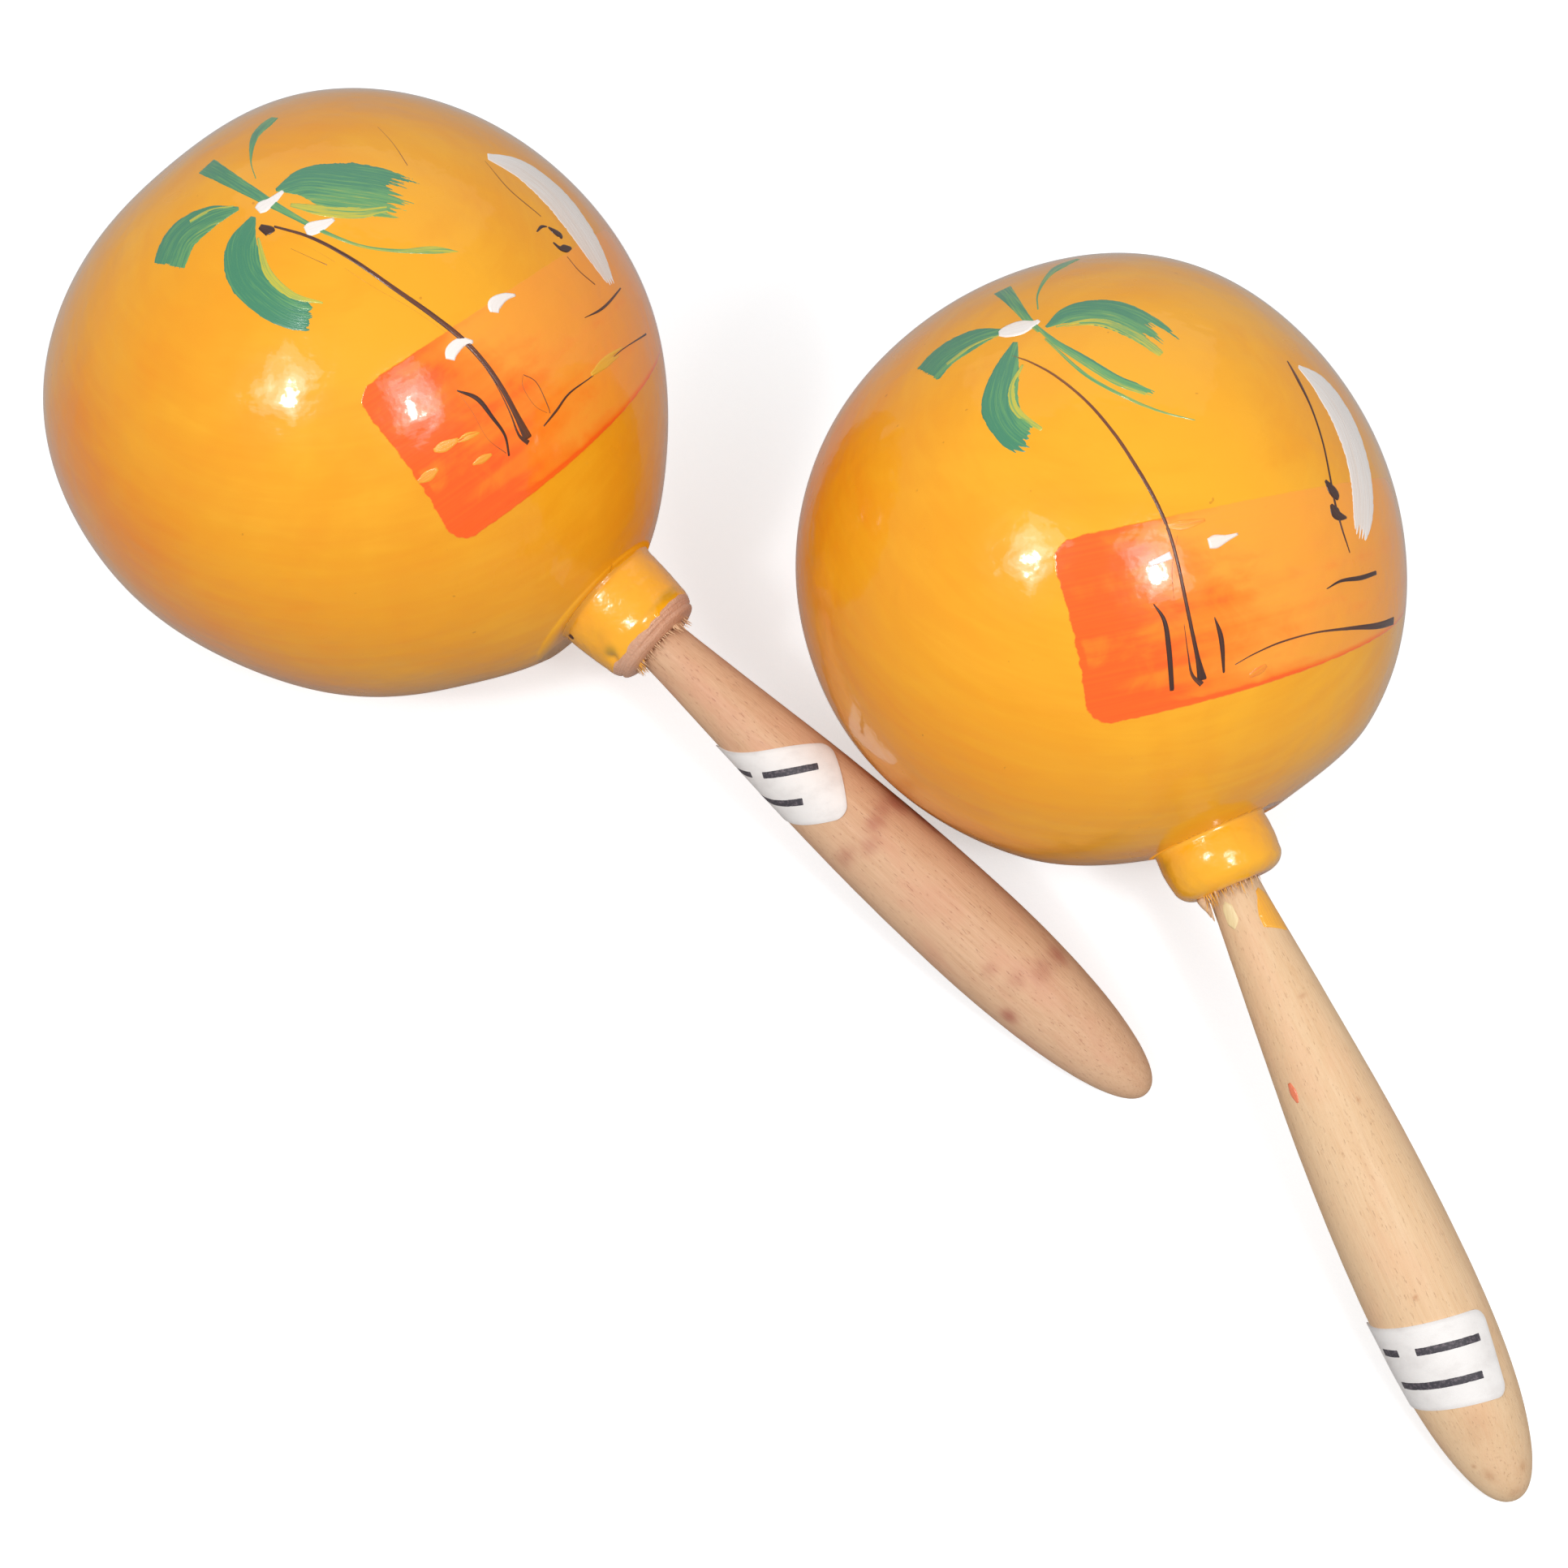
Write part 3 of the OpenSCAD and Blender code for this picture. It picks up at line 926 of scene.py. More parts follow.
@dataclass(frozen=True)
class Stroke:
    """A brush stroke, laid as a thin closed film.

    The film is thickest in the middle and dips under the surface wherever the brush
    leaves no paint: past its sides, past its ends, and between the hairs of a dry brush.

    path gives its knots as (x, y, width), layer and depth how high the film starts and
    how thick it is, and under how far down it is rooted, all in mm. tone is its tone from
    dark to light, to which side_tone and end_tone are added across and along it. dry is
    how dry the brush is from the start, dry_end the share of the way over which it runs
    out, and ragged how uneven the sides are.
    """

    path: tuple[tuple[float, float, float], ...]
    layer: float = 0.0
    tone: float = 0.2
    side_tone: float = 0.0
    end_tone: float = 0.0
    dry_end: float = 0.0
    dry: float = 0.0
    seed: float = 1.0
    depth: float = 0.07
    under: float = 0.16
    ragged: float = 0.05

    def skin(self, canvas: Canvas) -> Skin:
        """Lays the stroke on a canvas.

        A line through the knots gives the middle and the width; the film's section goes
        across the top from one side to the other and back underneath.

        Args:
            canvas: The surface painted on.

        Returns:
            The film as a closed skin.
        """
        knots = np.array(self.path)
        length = float(np.hypot(*np.diff(knots[:, :2], axis=0).T).sum())
        rows = int(np.clip(length / ROW_STEP, 14, 150))
        cols = int(np.clip(knots[:, 2].max() / COLUMN_STEP, 7, 64))
        line = smooth_path(knots, rows)
        width = np.maximum(line[:, 2:], LEAST_WIDTH)
        ahead = unit(np.gradient(line[:, :2], axis=0) + 1e-9)
        v = np.linspace(-1.0, 1.0, cols)[None, :]
        across = v * width / 2
        x = line[:, :1] - ahead[:, 1:] * across
        y = line[:, 1:2] + ahead[:, :1] * across
        along = np.concatenate([[0.0], np.cumsum(np.hypot(*np.diff(line[:, :2], axis=0).T))])[:, None]
        total = along[-1, 0]
        share = along / total

        edge = np.sign(v)
        wobble = patchy(along * 1.3, edge * 3.0, self.seed)
        wobble = self.ragged * (wobble + patchy(along * 4.0, edge * 5.0, self.seed + 3) * 0.5)
        side = (1.0 - np.abs(v) - wobble) * width / 2 / SIDE_FADE
        tips = np.minimum(along, total - along) / TIP_FADE + 0.15
        coarse = patchy(across * 2.1, along * 0.07, self.seed + 7)
        hairs = 0.6 * coarse + 0.4 * patchy(across * 5.5, along * 0.22, self.seed + 11)
        thirst = self.dry + 0 * share
        if self.dry_end:
            thirst = self.dry + (1.15 - self.dry) * ease((share - 1.0 + self.dry_end) / self.dry_end)
        wet = (hairs - thirst + 0.12) / 0.14 if (self.dry or self.dry_end) else np.ones_like(across)
        cover = ease(np.minimum(np.minimum(side, tips), wet))
        top = self.layer + cover * (self.depth + DIP) - DIP + 0.02 * cover * (hairs - 0.5)
        tone = self.tone + self.side_tone * v + self.end_tone * share**1.5 + 0.5 * (hairs - 0.5)

        def loop(upper: Numbers, lower: Numbers) -> Numbers:
            """A closed section from its upper and lower halves."""
            halves = [np.broadcast_to(upper, x.shape), np.broadcast_to(lower, x.shape)[:, ::-1]]
            return np.concatenate(halves, axis=1)

        points = canvas.at(loop(x, x), loop(y, y), loop(top, np.full_like(x, -self.under)))
        seeds = np.full((rows, 2 * cols), self.seed)
        brush = np.stack([loop(along, along), loop(across, across), seeds], axis=-1)
        return Skin.wrap(points, {"brush": brush, "tone": loop(tone, tone)[..., None]})


@dataclass(frozen=True)
class Lump:
    """A shallow swelling or hollow of a gourd; the same bell also places painted shade and painted light on
    its lacquer.

    bearing counts from right to up as seen by the painter, and away from the middle of
    the painted face, both in degrees; height and spread are in mm and degrees, except that
    the height of painted shade or light is a share of the turn to orange.
    """

    bearing: float
    away: float
    height: float
    spread: float


def outline(spread: float, *knots: tuple[float, float]) -> tuple[Lump, ...]:
    """Lumps just inside the edge of the painted face, from bearings and heights."""
    return tuple(Lump(bearing, LIMB, height, spread) for bearing, height in knots)


def seeded(first: int, *strokes: Stroke) -> tuple[Stroke, ...]:
    """Strokes whose seeds count up from the first, so that no two have the same hairs."""
    return tuple(replace(stroke, seed=first + k) for k, stroke in enumerate(strokes))


@dataclass(frozen=True)
class Sea:
    """The sea's outline on the painted face: a long rounded block, brushed lengthwise.

    corner is the middle of its blunt end in mm, turn its bearing in degrees. The end
    starts early by some mm and bows out by bow times the square of the way across.
    """

    corner: tuple[float, float]
    turn: float
    half_width: float
    length: float
    round: float = 5.0
    bow: float = 0.0045
    early: float = 0.6

    def marks(self, x: Numbers, y: Numbers) -> Numbers:
        """Distances along, across and inwards from the outline.

        The inward distance is that of a rectangle with rounded corners: outside a corner's
        square it is the round less the distance to the corner's centre.

        Args:
            x: Millimetres to the right on the painted face.
            y: Millimetres up.

        Returns:
            The three distances at each place.
        """
        c, s = math.cos(math.radians(self.turn)), math.sin(math.radians(self.turn))
        dx, dy = x - self.corner[0], y - self.corner[1]
        along, across = dx * c + dy * s, dy * c - dx * s
        bowed = along + self.bow * across**2 - self.early
        out_x = np.abs(bowed - self.length / 2) - self.length / 2 + self.round
        out_y = np.abs(across) - self.half_width + self.round
        past = np.hypot(np.maximum(out_x, 0), np.maximum(out_y, 0))
        outside = past + np.minimum(np.maximum(out_x, out_y), 0)
        return np.stack([along, across, self.round - outside], axis=-1)


# ---- Sub-assemblies ----


@dataclass
class Gourd(Canvas):
    """A hollow gourd, its mouth and the scene painted on it.

    Sizes are in mm; pear and flat are shares of the radius, and the angles that end in
    angle say over how many degrees they fade. face is the direction of the middle of the
    painted side and face_right its right. quiet lists directions, each with its degrees,
    where the surface stays smooth because the gourd rests on something there.
    """

    side: Side
    lie: Lie
    radius: float
    pear: float
    flat: float
    offset: float
    mouth_r: float
    face: tuple[float, float, float]
    face_right: tuple[float, float, float]
    sea: Sea
    strokes: dict[Paint, tuple[Stroke, ...]]
    lumps: tuple[Lump, ...] = ()
    # Bells of painted shade, and of painted light where their height is below 0; heights are shares of the
    # turn to orange.
    deep: tuple[Lump, ...] = ()
    wall: float = 3.5
    neck_wall: float = 5.0
    bore: float = 8.66
    quiet: tuple[tuple[float, ...], ...] = ()
    pear_angle: float = 28.0
    flat_angle: float = 30.0
    neck_angle: float = 17.0
    columns: int = 384
    outer_rows: int = 196
    inner_rows: int = 26
    toward: Numbers = field(init=False)

    def __post_init__(self) -> None:
        """Finds the gourd's own axis, which crosses the handle's in the mouth."""
        low, high = 1.0, 60.0
        for _ in range(HALVINGS):
            middle = (low + high) / 2
            wide = self.plain(np.array(middle)) * math.sin(math.radians(middle))
            low, high = (middle, high) if wide < self.mouth_r else (low, middle)
        far = float(self.plain(np.array(low))) * math.cos(math.radians(low))
        lean = math.asin(self.offset / far)
        self.toward = np.array([math.cos(lean), math.sin(lean), 0.0])
        self.mouth_x = far * math.cos(lean) - self.mouth_r * math.sin(abs(lean))
        front = unit(np.array(self.face))
        right = np.array(self.face_right)
        right = unit(right - front * (right @ front))
        self.view = np.array([right, np.cross(front, right), front])

    def plain(self, angle: Numbers) -> Numbers:
        """Radius without lumps: round, swelling near the neck and flatter at the far end.

        Both changes fade with the square of the angle, as a bell curve does.

        Args:
            angle: Degrees from the gourd's own axis.

        Returns:
            The radius in mm.
        """
        swell = self.pear * bell(angle / self.pear_angle)
        dent = self.flat * bell((180 - angle) / self.flat_angle)
        return self.radius * (1 + swell - dent)

    def bells(self, lumps: tuple[Lump, ...], ways: Numbers) -> Numbers:
        """Sum of bell curves round each lump's direction.

        Args:
            lumps: The lumps.
            ways: Unit vectors in the maraca's own frame.

        Returns:
            The sum in each direction.
        """
        total = np.zeros(ways.shape[:-1])
        for lump in lumps:
            b, a = math.radians(lump.bearing), math.radians(lump.away)
            centre = np.array([math.cos(b) * math.sin(a), math.sin(b) * math.sin(a), math.cos(a)]) @ self.view
            total += lump.height * bell(apart(ways, centre) / lump.spread)
        return total

    def surface(self, ways: Numbers) -> Numbers:
        """Radius of the outside in the given directions.

        To the plain radius come the lumps and three slow crossing waves, all of which
        fade out at the mouth and where the gourd touches something.

        Args:
            ways: Unit vectors in the maraca's own frame.

        Returns:
            The radius in mm.
        """
        angle = apart(ways, self.toward)
        waves = 0.10 * np.sin(5.1 * ways[..., 0] + 1.0) * np.sin(4.3 * ways[..., 1] + 2.0)
        waves += 0.07 * np.sin(8.3 * ways[..., 1] + 0.5) * np.sin(7.7 * ways[..., 2] + 1.3)
        extra = self.bells(self.lumps, ways) + waves
        extra *= ease((angle - 14) / 22)
        for x, y, z, spread in self.quiet:
            extra *= ease(apart(ways, unit(np.array([x, y, z]))) / spread - 0.35)
        return self.plain(angle) + extra

    def at(self, x: Numbers, y: Numbers, lift: Numbers) -> Numbers:
        """Places of a drawing wrapped on the painted face.

        A point's distance from the drawing's middle becomes an arc of that length, and
        its bearing stays.

        Args:
            x: Millimetres to the right in the drawing.
            y: Millimetres up.
            lift: Millimetres off the surface.

        Returns:
            The places in metres.
        """
        away, bearing = np.hypot(x, y) / self.radius, np.arctan2(y, x)
        seen = [np.sin(away) * np.cos(bearing), np.sin(away) * np.sin(bearing), np.cos(away)]
        ways = np.stack(seen, axis=-1) @ self.view
        return self.lie.out(ways * (self.surface(ways) + lift)[..., None])

    def drawing(self, ways: Numbers) -> tuple[Numbers, Numbers]:
        """Where directions fall in the drawing, in mm: the reverse of at().

        Args:
            ways: Unit vectors in the maraca's own frame.

        Returns:
            Millimetres to the right and up.
        """
        seen = ways @ self.view.T
        away = self.radius * np.arccos(np.clip(seen[..., 2], -1, 1))
        bearing = np.arctan2(seen[..., 1], seen[..., 0])
        return away * np.cos(bearing), away * np.sin(bearing)

    def mouth_ring(self, hollow: bool) -> Numbers:
        """Points round the mouth, on the outside or in the hollow.

        Outside, a ring on the plane of the mouth widens until it is on the gourd; inside,
        a ring of the bore's width slides until it is on the hollow.

        Args:
            hollow: Whether the ring is the inner one.

        Returns:
            The ring's points in mm.
        """
        turn = np.linspace(0, 2 * np.pi, self.columns, endpoint=False)
        x = np.full_like(turn, self.mouth_x)
        r = np.full_like(turn, self.bore if hollow else self.mouth_r)
        for _ in range(SLIDES):
            ring = np.stack([x, self.offset + r * np.sin(turn), r * np.cos(turn)], axis=-1)
            far = np.linalg.norm(ring, axis=1)
            angle = np.degrees(np.arccos(np.clip(ring @ self.toward / far, -1, 1)))
            if hollow:
                x = x + self.hollow(angle) - far
            else:
                r = r + (self.plain(angle) - far) * 1.5
        return ring

    def hollow(self, angle: Numbers) -> Numbers:
        """Radius of the hollow: the plain radius less a wall that thickens at the neck."""
        return self.plain(angle) - self.wall - self.neck_wall * bell(angle / self.neck_angle)

    def fan(self, ring: Numbers, rows: int) -> Numbers:
        """Directions that spread from the far pole to a ring, evenly along great circles.

        Args:
            ring: The ring's points.
            rows: Number of steps from pole to ring.

        Returns:
            Unit vectors as (row, place, xyz).
        """
        ends, pole = unit(ring), -self.toward
        reach = np.arccos(np.clip(ends @ pole, -1, 1))
        side = unit(ends - (ends @ pole)[:, None] * pole)
        share = np.linspace(0.004, 1.0, rows)[:, None]
        a = share * reach[None, :]
        return np.cos(a)[..., None] * pole + np.sin(a)[..., None] * side[None]

    def shell(self) -> Skin:
        """The shell: outside from far pole to mouth, across the mouth, and back inside.

        Returns:
            The shell as a closed skin that marks the sea and the painted shade and light of its lacquer.
        """
        rim, throat = self.mouth_ring(False), self.mouth_ring(True)
        outer = self.fan(rim, self.outer_rows)
        outside = outer * self.surface(outer)[..., None]
        turn = np.linspace(0, 2 * np.pi, self.columns, endpoint=False)
        across = self.offset + self.bore * np.sin(turn)
        bore = np.stack([np.full_like(turn, self.mouth_x), across, self.bore * np.cos(turn)], axis=-1)
        inner = self.fan(throat, self.inner_rows)[::-1]
        inside = inner * self.hollow(apart(inner, self.toward))[..., None]
        rings = np.concatenate([outside, rim[None], bore[None], inside])
        ways = unit(rings)
        x, y = self.drawing(ways)
        sea = self.sea.marks(x, y)
        return Skin.wrap(self.lie.out(rings), {"sea": sea, "deep": self.bells(self.deep, ways)[..., None]})

    def build(self, lacquer: Finish, paints: dict[Paint, Finish]) -> None:
        """Makes the shell and everything painted on it.

        Args:
            lacquer: Finish of the shell.
            paints: Finish of each paint.
        """
        body, name = f"{self.side.value}_maraca", self.side.value
        self.shell().make(f"{name}_gourd_shell", lacquer, body, (f"{name}_gourd",))
        for paint, strokes in self.strokes.items():
            films = Skin.together([stroke.skin(self) for stroke in strokes])
            films.make(f"{name}_gourd_{paint.value}", paints[paint], body)


@dataclass(frozen=True)
class Drip:
    """A thick place of a collar: mm from the collar's end, degrees round, mm high, and spreads."""

    x: float
    turn: float
    height: float
    long: float
    wide: float


@dataclass
class Collar:
    """A turned collar with a spigot in the gourd's mouth and a bore for the tenon."""

    side: Side
    lie: Lie
    offset: float
    mouth_x: float
    base_r: float
    end_r: float
    length: float
    rim_r: float
    bare_from: float
    drips: tuple[Drip, ...] = ()
    pools: tuple[Drip, ...] = ()
    spigot_r: float = 8.6
    spigot_len: float = 9.0
    bore: float = 4.26
    bow: float = 0.035
    rounded: float = 0.3
    foot: float = 1.3
    sunk: float = 0.6
    columns: int = 200

    def profile(self) -> Numbers:
        """The half section as [x, radius], from the bore round the outside and back.

        The side is a straight taper with a slight bow, its last part rounds over as a
        quarter ellipse, and lacquer fills its corner with the gourd as a hollow quarter
        circle that starts a little inside the gourd.

        Returns:
            The section's corners in mm, one a row.
        """
        t = np.linspace((self.foot - self.sunk) / self.length + 0.01, 1 - self.rounded, 44)
        taper = self.base_r + (self.end_r - self.base_r) * t
        side = np.stack([self.mouth_x + t * self.length, taper * (1 + self.bow * np.sin(np.pi * t))], axis=1)
        a = np.linspace(0, np.pi / 2, 26)[1:]
        last = side[-1, 1]
        over = np.stack([
            self.mouth_x + self.length * (1 - self.rounded + self.rounded * np.sin(a)),
            self.rim_r + (last - self.rim_r) * np.cos(a),
        ], axis=1)
        a = np.linspace(0, np.pi / 2, 10)
        foot = np.stack([
            self.mouth_x - self.sunk + self.foot * (1 - np.cos(a)),
            self.base_r + 0.05 + self.foot * (1 - np.sin(a)),
        ], axis=1)
        end, start = self.mouth_x + self.length, self.mouth_x - self.spigot_len
        inner = np.linspace(end, start, 14)
        back = np.stack([inner, np.full_like(inner, self.bore)], axis=1)
        outer = np.array([start, start + 0.2, self.mouth_x - self.sunk - 0.2, self.mouth_x - self.sunk])
        spigot = np.stack([outer, np.full_like(outer, self.spigot_r)], axis=1)
        return np.vstack([foot, side, over, back, spigot])

    def bells(self, drips: tuple[Drip, ...], x: Numbers, turn: Numbers) -> Numbers:
        """Sum of bell curves along and round the collar.

        Args:
            drips: The middles and sizes of the bells.
            x: Millimetres past the collar's end.
            turn: Degrees round from the top.

        Returns:
            The sum at each place.
        """
        total = np.zeros(np.broadcast(x, turn).shape)
        for d in drips:
            round_gap = (turn - d.turn + 180) % 360 - 180
            total += d.height * bell((x - d.x) / d.long, round_gap / d.wide)
        return total

    def build(self, finish: Finish) -> None:
        """Turns the profile, thickens it where the lacquer ran, and marks where wood shows.

        Args:
            finish: The collar's finish.
        """
        profile = self.profile()
        turn = np.linspace(0, 360, self.columns, endpoint=False)[None, :]
        x, r = profile[:, :1], profile[:, 1:]
        from_end = x - self.mouth_x - self.length
        outside = ease((r - self.rim_r + 0.4) / 0.8) * ease((x - self.mouth_x - 0.3) / 1.5)
        outside = outside * (r > self.bore + 0.5)
        grown = self.bells(self.drips, from_end, turn)
        uneven = 0.16 * (patchy(turn / 24, x / 3.1, 4.0) - 0.5)
        uneven = uneven + 0.08 * (patchy(turn / 9, x / 1.1, 9.0) - 0.5)
        r = r + outside * (grown + uneven)
        own = turned(from_end, r, turn)
        points = own + np.array([self.mouth_x + self.length, self.offset, 0.0])
        torn = 0.9 * (patchy(turn / 20, 0 * x, 2.0) - 0.5) + 0.4 * (patchy(turn / 6, 0 * x, 5.0) - 0.5)
        on_end = np.maximum(0, self.rim_r + 2.2 - np.hypot(own[..., 1], own[..., 2])) * (from_end > -3)
        bare = 0.5 + (from_end + self.bare_from + torn + on_end) * 0.5
        rings = 0.35 * (bell((from_end + 1.6) / 0.22) - bell((from_end + 0.7) / 0.5))
        outwards = unit(own * np.array([0.0, 1.0, 1.0]) + 1e-9)
        points = points - (ease((bare - 0.45) / 0.1) * rings * outside)[..., None] * outwards
        pool = self.bells(self.pools, from_end, turn)
        marks = {"own": own, "bare": bare[..., None], "pool": pool[..., None]}
        skin = Skin.wrap(self.lie.out(points), marks, Ends.JOINED)
        side = self.side.value
        skin.make(f"{side}_collar_turned", finish, f"{side}_maraca", (f"{side}_collar",))


@dataclass(frozen=True)
class Fringe:
    """A row of torn fibres round the end of a collar.

    turn and spread give the arc in degrees; the fibres start within the given radii.
    """

    turn: float
    spread: float
    count: int
    length: float
    from_r: float
    to_r: float
    width: float
    flare: float
    tint: float
    seed: float
    back: float = 0.3

    def skins(self, lie: Lie, end_x: float, offset: float) -> list[Skin]:
        """The fibres as thin tapered blades that bend outwards.

        A blade's middle leaves the collar along x and bends off as the square of the
        distance; its section is a flat ellipse that narrows to a point.

        Args:
            lie: Where the maraca lies.
            end_x: The collar's end, in mm from the middle of the gourd.
            offset: The handle's offset.

        Returns:
            One closed skin a fibre.
        """
        n = np.arange(self.count, dtype=float)[:, None, None]
        s = np.linspace(0, 1, 9)[None, :, None]
        a = np.linspace(0, 2 * np.pi, 8, endpoint=False)[None, None, :]
        luck = [dice(n, n * 0 + k, self.seed) for k in range(7)]
        turn = np.radians(self.turn + self.spread * ((n + luck[0]) / self.count - 0.5))
        length = self.length * (0.35 + 0.9 * luck[1] ** 1.5)
        start_r = self.from_r + (self.to_r - self.from_r) * luck[2]
        thick = self.width * (0.6 + 0.8 * luck[3]) * (1 - 0.85 * s**1.4)
        x = end_x - self.back + length * s + 0.1 * np.sin(a) * thick
        r = start_r + self.flare * length * s**2 * (luck[4] - 0.25) + 0.35 * thick * np.sin(a)
        swing = turn + (luck[5] - 0.5) * 0.5 * s**2 * length / start_r + 0.5 * thick * np.cos(a) / start_r
        points = np.stack(np.broadcast_arrays(x, offset - r * np.sin(swing), r * np.cos(swing)), axis=-1)
        tint = np.broadcast_to((luck[6] < self.tint) * 0.9, points.shape[:-1])[..., None]
        return [Skin.wrap(lie.out(p), {"tint": t}) for p, t in zip(points, tint)]


@dataclass(frozen=True)
class StainAndShade:
    """A dark patch of a handle, staining in most places and painted shade in a few: mm from the collar,
    degrees round from the top, strength, and its spreads in mm.
    """

    x: float
    turn: float
    strength: float
    long: float
    wide: float


@dataclass
class Handle(Canvas):
    """A turned handle: a tenon, a slim neck that swells to a belly, and a rounded tip."""

    side: Side
    lie: Lie
    offset: float
    collar_x: float
    neck_r: float
    belly_r: float
    belly_at: float
    tip_len: float
    tenon_from: float
    stains_and_shade: tuple[StainAndShade, ...] = ()
    tenon_r: float = 4.2
    swell_power: float = 1.1
    tip_power: float = 2.2
    columns: int = 132

    def radius(self, x: Numbers) -> Numbers:
        """Radius at a distance from the middle of the gourd.

        Up to the belly it grows as a quarter sine of a power of the way; past it, it
        closes as a quarter of a rounded ellipse.

        Args:
            x: Millimetres from the middle of the gourd.

        Returns:
            The radius in mm.
        """
        t = np.clip((x - self.collar_x) / self.belly_at, 0, 1)
        s = np.clip((x - self.collar_x - self.belly_at) / self.tip_len, 0, 1)
        swell = self.neck_r + (self.belly_r - self.neck_r) * np.sin(np.pi / 2 * t**self.swell_power)
        return swell * (1 - s**self.tip_power) ** (1 / self.tip_power)

    def round(self, x: Numbers, turn: Numbers, r: Numbers) -> Numbers:
        """Places in metres at x, degrees round from the top towards -y, and radius."""
        return self.lie.out(turned(x, r, turn, self.offset))

    def at(self, x: Numbers, y: Numbers, lift: Numbers) -> Numbers:
        """Places of a drawing wrapped on the handle: x in mm from the collar, y in mm round."""
        far = self.collar_x + x
        return self.round(far, np.degrees(y / self.belly_r), self.radius(far) + lift)

    def build(self, finish: Finish) -> None:
        """Turns the handle from its tenon to its tip and marks its grain, its staining and its painted shade.

        Args:
            finish: The wood's finish.
        """
        belly_x = self.collar_x + self.belly_at
        tip_x = belly_x + self.tip_len
        start, tenon_r = self.tenon_from, self.tenon_r
        tenon = np.array([[start, 0.02], [start, 2.0], [start, tenon_r - 0.1], [start + 0.1, tenon_r]])
        shank = np.linspace(start + 0.4, self.collar_x, 20)
        shank = np.stack([shank, np.full_like(shank, self.tenon_r)], axis=1)
        barrel = np.linspace(self.collar_x, belly_x, 170)
        cap = belly_x + self.tip_len * np.sin(np.linspace(0, np.pi / 2, 110)[1:-1])
        outside = np.concatenate([barrel, cap])
        outside = np.stack([outside, self.radius(outside)], axis=1)
        tip = np.array([[tip_x - 1e-3, 0.03]])
        profile = np.vstack([tenon, shank, outside, tip])
        x, r = profile[:, :1], profile[:, 1:]
        turn = np.linspace(0, 360, self.columns, endpoint=False)[None, :]
        shown = ease((x - self.collar_x) / 6) * ease((tip_x - x) / 8)
        uneven = 0.10 * (patchy(turn / 60, x / 17, 3.0) - 0.5)
        r = r + shown * (uneven + 0.03 * (patchy(turn / 11, x / 2.4, 8.0) - 0.5))
        r = np.maximum(r - 0.06 * shown, 0.02)
        from_collar = x - self.collar_x
        own = turned(from_collar, r, turn)
        # Dark patches: staining, and on the left handle painted shade as well.
        stain = np.zeros(own.shape[:-1])
        for s in self.stains_and_shade:
            gap = np.radians((turn - s.turn + 180) % 360 - 180) * r
            stain = np.maximum(stain, s.strength * bell((from_collar - s.x) / s.long, gap / s.wide))
        skin = Skin.wrap(self.round(x, turn, r), {"own": own, "stain": stain[..., None]})
        side = self.side.value
        skin.make(f"{side}_handle_turned", finish, f"{side}_maraca", (f"{side}_handle",))


